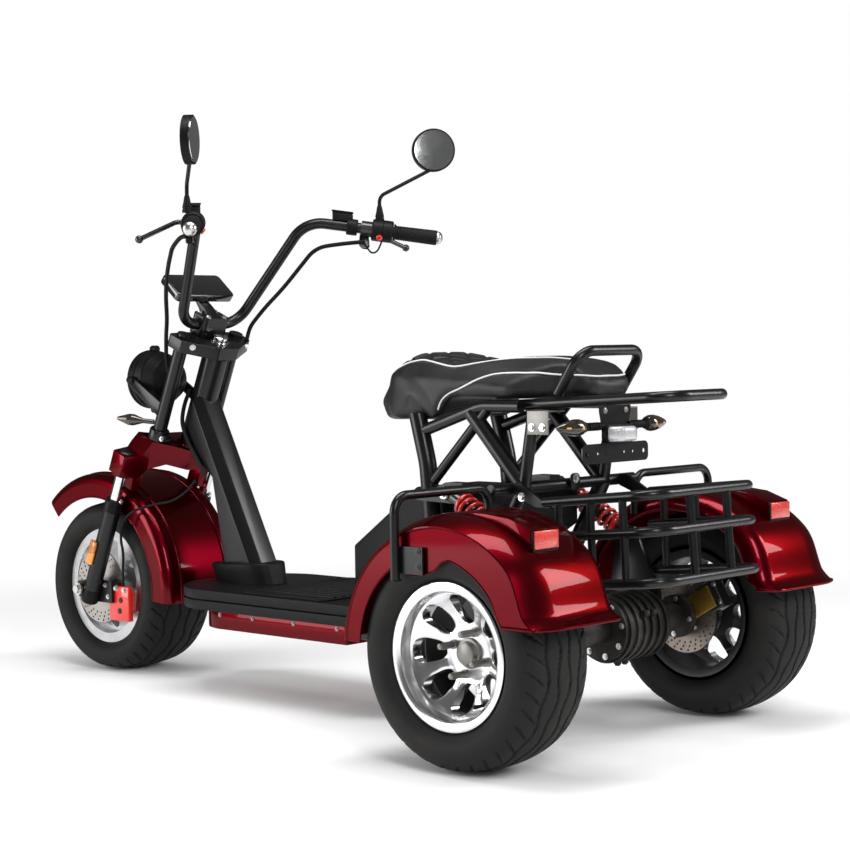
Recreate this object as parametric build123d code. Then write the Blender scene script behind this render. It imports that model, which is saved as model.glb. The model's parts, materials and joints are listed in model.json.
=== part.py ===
# Three-wheeled electric scooter, as an assembly of separate pieces.
# Millimetres, +X forward, +Y to the rider's left, +Z up.
# Pieces are placed from the middle of the rear axle; the export moves them so that
# the origin is under the middle of the whole scooter.
from build123d import *
import os
from math import cos, radians, sin, sqrt, tan

# Wheels and where they stand
WHEELBASE = 1534
HALF_TRACK = 389
REAR_TYRE_RADIUS = 224.5
REAR_TYRE_WIDTH = 190
REAR_RIM_WIDTH = 158
FRONT_TYRE_RADIUS = 215
FRONT_TYRE_WIDTH = 205
FRONT_RIM_WIDTH = 160
RIM_SEAT_RADIUS = 127
RIM_FLANGE_RADIUS = 144.5
AXLE_RADIUS = 8

# Steering: its rake, and the middle of the steering head from the front axle
RAKE = 23.5
HEAD_BACK = 268
HEAD_UP = 401
HEAD_RADIUS = 32
HEAD_BORE = 18
HEAD_LOW = -38
HEAD_TOP = 192
LEG_Y = 142
AXLE_LEAD = 20
LEG_RADIUS = 21
STANCHION_RADIUS = 14
UPPER_TUBE_AHEAD = 37
UPPER_TUBE_Y = 82
UPPER_TUBE_RADIUS = 17

# Handlebar and mirrors, from the middle of the steering head
BAR_TUBE = 26
BAR_LOW = (-56, 88, 254)
BAR_HIGH = (-221, 171, 501)
BAR_END = (-458, 394, 454)
MIRROR_RADIUS = 53
LEFT_MIRROR = (-498, 412, 642)
RIGHT_MIRROR = (-413, -430, 674)

# Deck, from the steering head back
DECK_TOP = 250
DECK_HALF_WIDTH = 190
DECK_SETBACK = 61
DECK_REAR = 520

# Welded frame, seat, rack and basket
FRAME_Y = 128
CROSS_X = 95
CROSS_Z = 519
PIVOT_X = 330
PIVOT_Z = 270
SEAT_LOW_FRONT = 668
SEAT_LOW_REAR = 703
RACK_Y = 102
RACK_TUBE = 22
BASKET_Y = 172
BASKET_TUBE = 20
REAR_REACH = 290

# Fenders, from the tyres they cover
FENDER_WALL = 4
REAR_CROWN_GAP = 45.5
REAR_INSIDE_GAP = 48
REAR_OUTSIDE_GAP = 10
FRONT_CROWN_GAP = 70
FRONT_SIDE_GAP = 14.5

# Clearances: fixed seats, running fits, moving pieces, and how far a cutter runs past a face
FIT = 0.3
RUNNING_FIT = 1
CLEAR = 5
OVERCUT = 1

# What follows from the driving dimensions
FRONT_AXLE = (WHEELBASE, FRONT_TYRE_RADIUS)
REAR_AXLE = (0, REAR_TYRE_RADIUS)
PIVOT = (PIVOT_X, PIVOT_Z)
STEER_X = WHEELBASE - HEAD_BACK
STEER_Z = FRONT_TYRE_RADIUS + HEAD_UP
DECK_FRONT = STEER_X - DECK_SETBACK
SHIFT_X = (REAR_REACH - WHEELBASE - FRONT_TYRE_RADIUS) / 2
FORK = Plane(
    origin=(STEER_X, 0, STEER_Z),
    x_dir=(cos(radians(RAKE)), 0, sin(radians(RAKE))),
    z_dir=(-sin(radians(RAKE)), 0, cos(radians(RAKE))),
)
AXLE_ON_FORK = FORK.to_local_coords(Vector(WHEELBASE, 0, FRONT_TYRE_RADIUS))
LEG_AHEAD = AXLE_ON_FORK.X - AXLE_LEAD


# Helpers
def rod(points, bend, diameter):
    """A round bar along straight runs joined by bends of one radius or of a list of radii."""
    path = Line(*points) if len(points) == 2 else FilletPolyline(*points, radius=bend)
    section = Plane(origin=path @ 0, z_dir=path % 0) * Circle(diameter / 2)
    return sweep(section, path=path)


def block(x, y, z):
    """A box between pairs of limits."""
    middle = [(low + high) / 2 for low, high in (x, y, z)]
    return Pos(*middle) * Box(x[1] - x[0], y[1] - y[0], z[1] - z[0])


def about(middle, half):
    """The pair of limits that lies half to each side of a middle."""
    return (middle - half, middle + half)


def prism(outline, y):
    """A side outline, (x, z) points, carried across from one y to another."""
    face = make_face(Polyline(*[(px, y[0], pz) for px, pz in outline], close=True))
    return extrude(face, amount=y[1] - y[0], dir=(0, 1, 0))


def disc(centre, radius, y):
    """A cylinder across the scooter, between two values of y."""
    spot = Pos(centre[0], (y[0] + y[1]) / 2, centre[1])
    return spot * Rot(90, 0, 0) * Cylinder(radius, y[1] - y[0])


def turned(outline, centre):
    """A closed (y, radius) outline turned about an axis across the scooter."""
    face = make_face(Polyline(*[(centre[0], y, centre[1] + r) for y, r in outline], close=True))
    return revolve(face, Axis((centre[0], 0, centre[1]), (0, 1, 0)), 360)


def mirrored(part):
    return mirror(part, about=Plane.XZ)


def group(parts):
    """Separate solids kept together in one piece."""
    return Compound(children=[solid for part in parts for solid in part.solids()])


def both(part):
    """A piece and its mirror image."""
    return group([part, mirrored(part)])


def joined(parts):
    whole = parts[0]
    for part in parts[1:]:
        whole = whole + part
    return whole


def unit(start, end):
    return (Vector(*end) - Vector(*start)).normalized()


def between(start, end, share):
    """The point a share of the way from one point to another."""
    return tuple(a + (b - a) * share for a, b in zip(start, end))


def across(point):
    return (point[0], -point[1], point[2])


def from_head(point):
    """A point measured from the middle of the steering head along the scooter's own axes."""
    return (STEER_X + point[0], point[1], STEER_Z + point[2])


def on_fork(part):
    """Place a piece drawn in the steering axis's own frame: x ahead of it, z up along it."""
    return FORK.location * part


def fork_point(point):
    return tuple(FORK.from_local_coords(Vector(*point)))


NODES = {}


def node(name, part):
    NODES[name] = part


# Tyres and rims
TYRE_SHOULDER = 30
TYRE_CROWN_DROP = 7
RIM_FLANGE_THICKNESS = 5
RIM_WALL = 6
WINDOW_MARGIN = 8
WINDOW_CORNER = 9
WINDOW_FOOT = 0.25
WINDOW_HEAD = 0.36


def tyre(radius, width, rim_width, centre, y):
    """A tubeless tyre: flat bore on the rim, bulging sidewalls and a lightly crowned tread."""
    bead = rim_width / 2 - RIM_FLANGE_THICKNESS - FIT
    bore = RIM_SEAT_RADIUS + FIT
    lip = RIM_FLANGE_RADIUS + FIT
    shoulder_y = width / 2 - TYRE_SHOULDER
    shoulder_r = radius - TYRE_CROWN_DROP
    bulge_r = (lip + shoulder_r) / 2

    def at(py, r):
        return (centre[0], y + py, centre[1] + r)

    outline = [
        Polyline(at(bead, lip), at(bead, bore), at(-bead, bore), at(-bead, lip)),
        ThreePointArc(at(-bead, lip), at(-width / 2, bulge_r), at(-shoulder_y, shoulder_r)),
        ThreePointArc(at(-shoulder_y, shoulder_r), at(0, radius), at(shoulder_y, shoulder_r)),
        ThreePointArc(at(shoulder_y, shoulder_r), at(width / 2, bulge_r), at(bead, lip)),
    ]
    return revolve(make_face(outline), Axis((centre[0], 0, centre[1]), (0, 1, 0)), 360)


def rim(rim_width, face, hub_radius, hub, windows, inside, bore, centre, y):
    """A drop-shaped wheel: barrel with two flanges, a face with rounded windows, and a hub."""
    half = rim_width / 2
    inner = half - RIM_FLANGE_THICKNESS
    barrel_r = RIM_SEAT_RADIUS - RIM_WALL
    steps = [
        (-half, barrel_r),
        (-half, RIM_FLANGE_RADIUS),
        (-inner, RIM_FLANGE_RADIUS),
        (-inner, RIM_SEAT_RADIUS),
    ]
    steps += [(-py, r) for py, r in reversed(steps)]
    barrel = turned([(y + py, r) for py, r in steps], centre)
    plate = disc(centre, barrel_r + RIM_WALL / 2, face)
    pitch = 360 / windows
    outside = barrel_r - WINDOW_MARGIN
    foot = inside * tan(radians(pitch * WINDOW_FOOT))
    head = outside * tan(radians(pitch * WINDOW_HEAD))
    corners = [(inside, -foot), (outside, -head), (outside, head), (inside, foot)]
    window = make_face(Polyline(*corners, close=True))
    window = fillet(window.vertices(), WINDOW_CORNER)
    hole = Rot(90, 0, 0) * extrude(window, amount=face[1] - face[0], both=True)
    middle = Pos(centre[0], (face[0] + face[1]) / 2, centre[1])
    for turn in range(windows):
        plate -= middle * Rot(0, turn * pitch, 0) * hole
    whole = barrel + plate + disc(centre, hub_radius, hub)
    return whole - disc(centre, bore, (hub[0] - OVERCUT, hub[1] + OVERCUT))


# Rear wheels, each with its hub, half shaft and brake disc as one turned piece
DISC_THICKNESS = 4
REAR_FACE_IN = 66
REAR_FACE_THICKNESS = 16
REAR_WINDOWS = 8
REAR_WINDOW_INSIDE = 70
REAR_HUB_RADIUS = 58
REAR_HUB_PROUD = 20
HALF_SHAFT_RADIUS = 15
HALF_SHAFT_PROUD = 26
HUB_FLANGE_IN = 49
HUB_FLANGE_THICKNESS = 12
REAR_DISC_IN = 105
REAR_DISC_RADIUS = 82
DISC_CARRIER_RADIUS = 30
AXLE_TUBE_IN = 127
SHAFT_ENGAGED = 72

rear_face_y = HALF_TRACK + REAR_RIM_WIDTH / 2 - REAR_FACE_IN
flange_y = HALF_TRACK - HUB_FLANGE_IN
rear_disc_y = HALF_TRACK - REAR_DISC_IN
rear_disc_faces = about(rear_disc_y, DISC_THICKNESS / 2)
axle_tube_end = HALF_TRACK - AXLE_TUBE_IN
shaft_inner_y = axle_tube_end - SHAFT_ENGAGED
rear_tyre = tyre(REAR_TYRE_RADIUS, REAR_TYRE_WIDTH, REAR_RIM_WIDTH, REAR_AXLE, HALF_TRACK)
rear_rim = rim(
    REAR_RIM_WIDTH, (rear_face_y, rear_face_y + REAR_FACE_THICKNESS), REAR_HUB_RADIUS,
    (flange_y + FIT, rear_face_y + REAR_HUB_PROUD), REAR_WINDOWS, REAR_WINDOW_INSIDE,
    HALF_SHAFT_RADIUS + FIT, REAR_AXLE, HALF_TRACK,
)
rear_hub = disc(REAR_AXLE, HALF_SHAFT_RADIUS, (shaft_inner_y, rear_face_y + HALF_SHAFT_PROUD))
rear_hub += disc(REAR_AXLE, REAR_HUB_RADIUS, (flange_y - HUB_FLANGE_THICKNESS, flange_y))
rear_hub += disc(REAR_AXLE, DISC_CARRIER_RADIUS, (rear_disc_y, flange_y))
rear_hub += disc(REAR_AXLE, REAR_DISC_RADIUS, rear_disc_faces)
for side, flip in (("left", lambda part: part), ("right", mirrored)):
    node(f"rear_tyre_{side}", flip(rear_tyre))
    node(f"rear_rim_{side}", flip(rear_rim))
    node(f"rear_hub_{side}", flip(rear_hub))

# Front wheel
FRONT_FACE_Y = 10
FRONT_FACE_THICKNESS = 20
FRONT_WINDOWS = 6
FRONT_WINDOW_INSIDE = 55
FRONT_HUB_RADIUS = 42
FRONT_HUB_RIGHT = -55
FRONT_DISC_RADIUS = 92
FRONT_DISC_Y = 99
DISC_BORE = 12

front_disc_faces = about(FRONT_DISC_Y, DISC_THICKNESS / 2)
front_rim = rim(
    FRONT_RIM_WIDTH, (FRONT_FACE_Y, FRONT_FACE_Y + FRONT_FACE_THICKNESS), FRONT_HUB_RADIUS,
    (FRONT_HUB_RIGHT, front_disc_faces[0] - FIT), FRONT_WINDOWS, FRONT_WINDOW_INSIDE,
    AXLE_RADIUS + RUNNING_FIT, FRONT_AXLE, 0,
)
front_disc = disc(FRONT_AXLE, FRONT_DISC_RADIUS, front_disc_faces)
front_disc -= disc(FRONT_AXLE, DISC_BORE, about(FRONT_DISC_Y, DISC_THICKNESS))
node("front_tyre", tyre(FRONT_TYRE_RADIUS, FRONT_TYRE_WIDTH, FRONT_RIM_WIDTH, FRONT_AXLE, 0))
node("front_rim", front_rim)
node("front_disc", front_disc)

# Rear axle with its ribbed drive unit
AXLE_TUBE_RADIUS = 27
AXLE_FLANGE_RADIUS = 46
AXLE_FLANGE_THICKNESS = 14
SHAFT_END_GAP = 20
MOTOR_RADIUS = 66
MOTOR_MIDDLE_Y = -70
MOTOR_LENGTH = 150
MOTOR_RIBS = 6
MOTOR_RIB_PITCH = 24
MOTOR_RIB_WIDTH = 8
MOTOR_RIB_HEIGHT = 5

drive_axle = disc(REAR_AXLE, AXLE_TUBE_RADIUS, about(0, axle_tube_end))
drive_axle += disc(REAR_AXLE, MOTOR_RADIUS, about(MOTOR_MIDDLE_Y, MOTOR_LENGTH / 2))
for index in range(MOTOR_RIBS):
    rib_y = MOTOR_MIDDLE_Y + (index - (MOTOR_RIBS - 1) / 2) * MOTOR_RIB_PITCH
    drive_axle += disc(REAR_AXLE, MOTOR_RADIUS + MOTOR_RIB_HEIGHT, about(rib_y, MOTOR_RIB_WIDTH / 2))
axle_flange = disc(REAR_AXLE, AXLE_FLANGE_RADIUS, (axle_tube_end - AXLE_FLANGE_THICKNESS, axle_tube_end))
shaft_bore = disc(
    REAR_AXLE, HALF_SHAFT_RADIUS + RUNNING_FIT, (shaft_inner_y - SHAFT_END_GAP, axle_tube_end + OVERCUT)
)
drive_axle = drive_axle + axle_flange + mirrored(axle_flange) - shaft_bore - mirrored(shaft_bore)
node("drive_axle", drive_axle)

# Swing arms from the frame's pivot back to the axle, with the lugs that carry the shocks
ARM_Y = 146
ARM_THICKNESS = 12
ARM_HALF_LENGTH = 34
ARM_ABOVE_AXLE = 62
ARM_BELOW_AXLE = 40
ARM_END = 20
ARM_END_HALF = 26
PIVOT_RADIUS = 18
SHOCK_Y = 174
SHOCK_TOP = (262, 505)
SHOCK_LOW = (50, 400)
SHOCK_EYE_RADIUS = 15
SHOCK_LUG_HALF = 22
SPRING_DIAMETER = 50
DAMPER_DIAMETER = 26
SPRING_SPAN = (0.2, 0.8)

arm_y = (ARM_Y, ARM_Y + ARM_THICKNESS)
arm = prism(
    [
        (-ARM_HALF_LENGTH, REAR_TYRE_RADIUS + ARM_ABOVE_AXLE),
        (SHOCK_LOW[0] - SHOCK_LUG_HALF, SHOCK_LOW[1] + SHOCK_LUG_HALF),
        (SHOCK_LOW[0] + SHOCK_LUG_HALF, SHOCK_LOW[1] + SHOCK_LUG_HALF),
        (SHOCK_LOW[0] + 2 * SHOCK_LUG_HALF, REAR_TYRE_RADIUS + ARM_ABOVE_AXLE),
        (PIVOT[0] + ARM_END, PIVOT[1] + ARM_END_HALF),
        (PIVOT[0] + ARM_END, PIVOT[1] - ARM_END_HALF),
        (ARM_HALF_LENGTH, REAR_TYRE_RADIUS - ARM_BELOW_AXLE),
        (-ARM_HALF_LENGTH, REAR_TYRE_RADIUS - ARM_BELOW_AXLE),
    ],
    arm_y,
)
arm -= disc(REAR_AXLE, AXLE_TUBE_RADIUS + FIT, (arm_y[0] - OVERCUT, arm_y[1] + OVERCUT))
node("swing_arm", arm + mirrored(arm) + disc(PIVOT, PIVOT_RADIUS, about(0, arm_y[1])))

shock_eye_half = SHOCK_Y - arm_y[1] - FIT


def shock_spot(share):
    x, z = between(SHOCK_TOP, SHOCK_LOW, share)
    return (x, SHOCK_Y, z)


damper = rod([shock_spot(0), shock_spot(1)], 0, DAMPER_DIAMETER)
for eye in (SHOCK_TOP, SHOCK_LOW):
    damper += disc(eye, SHOCK_EYE_RADIUS, about(SHOCK_Y, shock_eye_half))
spring = rod([shock_spot(share) for share in SPRING_SPAN], 0, SPRING_DIAMETER)
spring -= rod([shock_spot(0), shock_spot(1)], 0, DAMPER_DIAMETER + 2 * FIT)
node("shock_dampers", both(damper))
node("shock_springs", both(spring))

# Rear brake calipers on their brackets, drawn behind the axle and then turned up round it
CALIPER_TURN = 30
CALIPER_PAD = 10
CALIPER_HALF_HEIGHT = 32
CALIPER_OVER_DISC = 32
CALIPER_INSIDE = 62
BRACKET_THICKNESS = 4
BRACKET_REACH = 98
BRACKET_HALF_HEIGHT = 24

bracket_y = (axle_tube_end + FIT, axle_tube_end + FIT + BRACKET_THICKNESS)
caliper_y = (bracket_y[1] + FIT, rear_disc_faces[1] + CLEAR + CALIPER_PAD)
bracket = block(
    (-BRACKET_REACH, -HALF_SHAFT_RADIUS - BRACKET_THICKNESS), bracket_y,
    about(REAR_TYRE_RADIUS, BRACKET_HALF_HEIGHT),
)
rear_caliper = block(
    (-REAR_DISC_RADIUS - CALIPER_OVER_DISC, -CALIPER_INSIDE), caliper_y,
    about(REAR_TYRE_RADIUS, CALIPER_HALF_HEIGHT),
)
rear_caliper -= block(
    (-REAR_DISC_RADIUS - CLEAR, 0), about(rear_disc_y, DISC_THICKNESS / 2 + CLEAR),
    about(REAR_TYRE_RADIUS, CALIPER_HALF_HEIGHT + OVERCUT),
)
axle_line = Axis((0, 0, REAR_TYRE_RADIUS), (0, 1, 0))
node("caliper_brackets", both(bracket.rotate(axle_line, CALIPER_TURN)))
node("rear_calipers", both(rear_caliper.rotate(axle_line, CALIPER_TURN)))

# Rear fenders: an arched shell turned about the axle, with a flared tail and a lamp wedge
REAR_CORNER_IN = 34
REAR_CORNER_OUT = 58
FENDER_INNER_EDGE = 226
SKIRT_RADIUS = 195
SKIRT_SHIFT = 17
FENDER_FRONT_ANGLE = 3
FENDER_REAR_ANGLE = 164
FLARE_RADIUS = 45
FLARE_ANGLE = 32
LIP_Z = 296
LOBE_X = (22, 113)
LOBE_Z = (372, 440)
WEDGE_Y = 384
WEDGE_HALF_WIDTH = 38
WEDGE_REACH = 0.637
WEDGE_DROP = 24.5
WEDGE_FRONT_X = -20
REFLECTOR_HALF_WIDTH = 34
REFLECTOR_HEIGHT = 34
REFLECTOR_DEPTH = 8
REFLECTOR_DROP = 3

fender_in = HALF_TRACK - REAR_TYRE_WIDTH / 2 - REAR_INSIDE_GAP
fender_out = HALF_TRACK + REAR_TYRE_WIDTH / 2 + REAR_OUTSIDE_GAP
rear_crown = REAR_TYRE_RADIUS + REAR_CROWN_GAP
skirt_edge = SKIRT_RADIUS - SKIRT_SHIFT - FENDER_WALL


def arched(span, crown, edges, corners, centre, angle):
    """The cross-section of a fender, in the half-plane through the wheel's axis at an angle."""
    turn = Plane(
        origin=(centre[0], 0, centre[1]),
        x_dir=(0, 1, 0),
        z_dir=(sin(radians(angle)), 0, -cos(radians(angle))),
    )

    def skin(inset):
        low, high, top = span[0] + inset, span[1] - inset, crown - inset
        turn_in, turn_out = [corner - inset for corner in corners]
        bow = 1 - cos(radians(45))
        return [
            Line((low, edges[0]), (low, top - turn_in)),
            ThreePointArc(
                (low, top - turn_in), (low + turn_in * bow, top - turn_in * bow), (low + turn_in, top)
            ),
            Line((low + turn_in, top), (high - turn_out, top)),
            ThreePointArc(
                (high - turn_out, top), (high - turn_out * bow, top - turn_out * bow), (high, top - turn_out)
            ),
            Line((high, top - turn_out), (high, edges[1])),
        ]

    ends = [
        Line((span[0], edges[0]), (span[0] + FENDER_WALL, edges[0])),
        Line((span[1], edges[1]), (span[1] - FENDER_WALL, edges[1])),
    ]
    return turn * make_face([*skin(0), *skin(FENDER_WALL), *ends])


def fender_shell(span, crown, edges, corners, centre, angles):
    """A cross-section carried round the wheel from the front angle to the rear one."""
    section = arched(span, crown, edges, corners, centre, angles[0])
    return revolve(section, Axis((centre[0], 0, centre[1]), (0, -1, 0)), angles[1] - angles[0])


rear_form = ((fender_in, fender_out), rear_crown, (FENDER_INNER_EDGE, skirt_edge))
rear_corners = (REAR_CORNER_IN, REAR_CORNER_OUT)
fender = fender_shell(*rear_form, rear_corners, REAR_AXLE, (FENDER_FRONT_ANGLE, FENDER_REAR_ANGLE))
tail = arched(*rear_form, rear_corners, REAR_AXLE, FENDER_REAR_ANGLE)
flare_reach = rear_crown + FLARE_RADIUS
flare_x = flare_reach * cos(radians(FENDER_REAR_ANGLE))
flare_z = REAR_TYRE_RADIUS + flare_reach * sin(radians(FENDER_REAR_ANGLE))
fender += revolve(tail, Axis((flare_x, 0, flare_z), (0, 1, 0)), FLARE_ANGLE)
skirt_y = (fender_out - 2 * FENDER_WALL, fender_out + OVERCUT)
fender -= disc((SKIRT_SHIFT, REAR_TYRE_RADIUS), SKIRT_RADIUS, skirt_y)
fender -= block((-2 * rear_crown, 0), (fender_in - OVERCUT, fender_out + OVERCUT), (0, LIP_Z))
wedge_foot = REAR_TYRE_RADIUS + rear_crown / 2
wedge_rear = -WEDGE_REACH * rear_crown
wedge_top = REAR_TYRE_RADIUS + rear_crown - WEDGE_DROP
wedge = prism(
    [
        (wedge_rear, wedge_top),
        (WEDGE_FRONT_X, REAR_TYRE_RADIUS + rear_crown),
        (WEDGE_FRONT_X, wedge_foot),
        (wedge_rear, wedge_foot),
    ],
    about(WEDGE_Y, WEDGE_HALF_WIDTH),
)
wedge -= disc(REAR_AXLE, rear_crown - FENDER_WALL / 2, (fender_in, fender_out))
fender += wedge
fender += block(LOBE_X, (fender_out - FENDER_WALL, fender_out), LOBE_Z)
reflector_top = wedge_top - REFLECTOR_DROP
reflector = block(
    (wedge_rear - REFLECTOR_DEPTH, wedge_rear - FIT), about(WEDGE_Y, REFLECTOR_HALF_WIDTH),
    (reflector_top - REFLECTOR_HEIGHT, reflector_top),
)
node("rear_fender_left", fender)
node("rear_fender_right", mirrored(fender))
node("rear_reflectors", both(reflector))

# Steering head and the neck that carries it, and the moulded collar round the neck's foot
NECK_HALF_WIDTH = 44
NECK_CHAMFER = 20
NECK_FOOT = (220, 93)
NECK_SIDE_LENGTH = 400
NECK_HEAD = [(-106, -116), (2, -31), (-21, 34), (-50, 86)]
COLLAR_HALF_WIDTH = 72
COLLAR_FOOT = (238, 17)
COLLAR_TOP = [(75, 46), (214, 56)]
COLLAR_CORNER = 18
COLLAR_GAP = 1

deck_face = DECK_TOP + FIT
head_length = HEAD_TOP - HEAD_LOW
neck_outline = [(DECK_FRONT - back, deck_face) for back in NECK_FOOT]
neck_outline += [(STEER_X + x, STEER_Z + z) for x, z in NECK_HEAD]
head_middle = Pos(0, 0, (HEAD_LOW + HEAD_TOP) / 2)
neck = prism(neck_outline, about(0, NECK_HALF_WIDTH))
back_edges = neck.edges().filter_by(lambda edge: edge.length > NECK_SIDE_LENGTH).sort_by(Axis.X)[:2]
neck = chamfer(back_edges, NECK_CHAMFER) + on_fork(head_middle * Cylinder(HEAD_RADIUS, head_length))
neck -= on_fork(head_middle * Cylinder(HEAD_BORE, head_length + 2 * OVERCUT))
node("neck_frame", neck)

collar_outline = [(DECK_FRONT - back, deck_face) for back in COLLAR_FOOT]
collar_outline += [(DECK_FRONT - back, DECK_TOP + up) for back, up in COLLAR_TOP]
collar = prism(collar_outline, about(0, COLLAR_HALF_WIDTH))
slopes = collar.edges().filter_by(Axis.Y, reverse=True).group_by(Axis.Z)[1]
collar = fillet(slopes, COLLAR_CORNER)
last = len(neck_outline) - 1
gaps = [-COLLAR_GAP if index in (0, last) else COLLAR_GAP for index in range(last + 1)]
collar -= prism(
    [(x + gap, z) for (x, z), gap in zip(neck_outline, gaps)], about(0, NECK_HALF_WIDTH + FIT)
)
node("neck_collar", collar)

# Deck: a grooved footboard with a ribbed mat, over the case that holds the battery
BOARD_LAYER = 22
BOARD_GROOVE = 3
BOARD_INSET = 6
DECK_ROUND = 165
DECK_CORNER = 20
MAT_REAR_SETBACK = 120
MAT_SETBACK = 285
MAT_INSET = 14
MAT_THICKNESS = 3
RIB_END = 10
RIB_HEIGHT = 3
RIB_WIDTH = 8
RIB_PITCH = 26
RIB_COUNT = 11
CASE_HALF_WIDTH = 165
CASE_SETBACK = 95
CASE_REAR = 580
CASE_LOW = 158
CASE_WALL = 4
CASE_ROUND = 110
BATTERY_LENGTH = 380
BATTERY_HALF_WIDTH = 130
BATTERY_REAR_GAP = 40
BATTERY_HEADROOM = 2


def plan_form(x, half_width, z, round_front, round_rear):
    """A plate between two heights, straight sided, with rounded corners."""
    plate = block(x, about(0, half_width), z)
    plate = fillet(plate.edges().filter_by(Axis.Z).sort_by(Axis.X)[2:], round_front)
    return fillet(plate.edges().filter_by(Axis.Z).sort_by(Axis.X)[:2], round_rear)


board_low = DECK_TOP - 2 * BOARD_LAYER - BOARD_GROOVE
groove_z = (board_low + BOARD_LAYER, DECK_TOP - BOARD_LAYER)
board = plan_form(
    (DECK_REAR + BOARD_INSET, DECK_FRONT - BOARD_INSET), DECK_HALF_WIDTH - BOARD_INSET, groove_z,
    DECK_ROUND - BOARD_INSET, DECK_CORNER - BOARD_INSET,
)
for layer in ((board_low, groove_z[0]), (groove_z[1], DECK_TOP)):
    board += plan_form((DECK_REAR, DECK_FRONT), DECK_HALF_WIDTH, layer, DECK_ROUND, DECK_CORNER)
node("footboard", board)
mat_x = (DECK_REAR + MAT_REAR_SETBACK, DECK_FRONT - MAT_SETBACK)
mat_top = deck_face + MAT_THICKNESS
mat = plan_form(mat_x, DECK_HALF_WIDTH - MAT_INSET, (deck_face, mat_top), DECK_CORNER, DECK_CORNER)
for index in range(RIB_COUNT):
    rib_y = (index - (RIB_COUNT - 1) / 2) * RIB_PITCH
    rib_x = (mat_x[0] + RIB_END, mat_x[1] - RIB_END)
    mat += block(rib_x, about(rib_y, RIB_WIDTH / 2), (deck_face, mat_top + RIB_HEIGHT))
node("deck_mat", mat)
case_x = (CASE_REAR, DECK_FRONT - CASE_SETBACK)
case_top = board_low - FIT
case = plan_form(case_x, CASE_HALF_WIDTH, (CASE_LOW, case_top), CASE_ROUND, 2 * CASE_WALL)
hollow_z = (CASE_LOW + CASE_WALL, case_top)
case -= plan_form(
    (case_x[0] + CASE_WALL, case_x[1] - CASE_WALL), CASE_HALF_WIDTH - CASE_WALL,
    (hollow_z[0], hollow_z[1] + OVERCUT), CASE_ROUND - CASE_WALL, CASE_WALL,
)
node("deck_case", case)
battery_rear = CASE_REAR + BATTERY_REAR_GAP
battery = block(
    (battery_rear, battery_rear + BATTERY_LENGTH), about(0, BATTERY_HALF_WIDTH),
    (hollow_z[0] + FIT, hollow_z[1] - BATTERY_HEADROOM),
)
node("battery_block", battery)

# Welded rear frame: lower rails, posts, seat rails, braces and the cross bar
RAIL_TUBE = 34
POST_TUBE = 38
SEAT_TUBE = 26
BRACE_TUBE = 22
CROSS_TUBE = 24
RAIL_Z = 185
RAIL_BEND = 60
POST_BEND = 200
SEAT_RAIL_BEND = 120
SEAT_RAIL_DROP = 19
BRACE_DROP = 6
STRUT_DROP = 14
SEAT_CROSS_X = 180
HOOP_TUBE = 18
HOOP_LEAN = 2
LUG_HALF_THICKNESS = 5
POST_TRIM = (330, 450)

hoop_in_y = fender_in - HOOP_TUBE / 2 - FIT
seat_rail_z = SEAT_LOW_REAR - SEAT_RAIL_DROP
# The tubes of one side as (x, z) points, with their bend and diameter
SIDE_TUBES = [
    ([(CASE_REAR - FIT, RAIL_Z), (360, RAIL_Z), (200, 330), (CROSS_X, CROSS_Z)], RAIL_BEND, RAIL_TUBE),
    ([(391, SEAT_LOW_FRONT), (362, 560), (350, 420), (366, RAIL_Z)], POST_BEND, POST_TUBE),
    ([(373, 630), (205, seat_rail_z), (100, seat_rail_z)], SEAT_RAIL_BEND, SEAT_TUBE),
    ([(190, seat_rail_z - BRACE_DROP), (344, 526)], 0, BRACE_TUBE),
    ([(235, seat_rail_z - STRUT_DROP), (CROSS_X, CROSS_Z)], 0, RAIL_TUBE),
    ([(CROSS_X, CROSS_Z), (67, seat_rail_z - STRUT_DROP)], 0, SEAT_TUBE),
]
# The plates for the pivot and the shock's upper eye, from their own middles
PIVOT_PLATE = [(-30, -5), (-15, 28), (28, 20), (20, -70)]
SHOCK_PLATE = [(-24, 20), (24, 20), (108, -20), (-24, -24)]

tubes = [rod([(x, FRAME_Y, z) for x, z in points], bend, size) for points, bend, size in SIDE_TUBES]
one_side = joined(tubes)
one_side += prism([(PIVOT[0] + x, PIVOT[1] + z) for x, z in PIVOT_PLATE], about(FRAME_Y, LUG_HALF_THICKNESS))
one_side += prism(
    [(SHOCK_TOP[0] + x, SHOCK_TOP[1] + z) for x, z in SHOCK_PLATE],
    (FRAME_Y - LUG_HALF_THICKNESS, SHOCK_Y - shock_eye_half - FIT),
)
cross_end = hoop_in_y - HOOP_TUBE / 2 + HOOP_LEAN
cross_bar = rod([(CROSS_X, -cross_end, CROSS_Z), (CROSS_X, cross_end, CROSS_Z)], 0, CROSS_TUBE)
seat_cross = rod([(SEAT_CROSS_X, -FRAME_Y, seat_rail_z), (SEAT_CROSS_X, FRAME_Y, seat_rail_z)], 0, BRACE_TUBE)
frame = joined([one_side, mirrored(one_side), cross_bar, seat_cross])
frame -= disc(PIVOT, PIVOT_RADIUS + FIT, about(0, ARM_Y))
frame -= block(POST_TRIM, about(0, 2 * FRAME_Y), (SEAT_LOW_FRONT - FIT, SEAT_LOW_FRONT + POST_TUBE))
node("rear_frame", frame)

BOX_HALF_WIDTH = 100
BOX_TOP = 508
BOX_FRONT = 620
BOX_REAR = 140
BOX_FRONT_RISE = 120
BOX_TOP_FRONT = 425
BOX_REAR_DEPTH = 78
BOX_FOOT_REAR = 420

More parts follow.
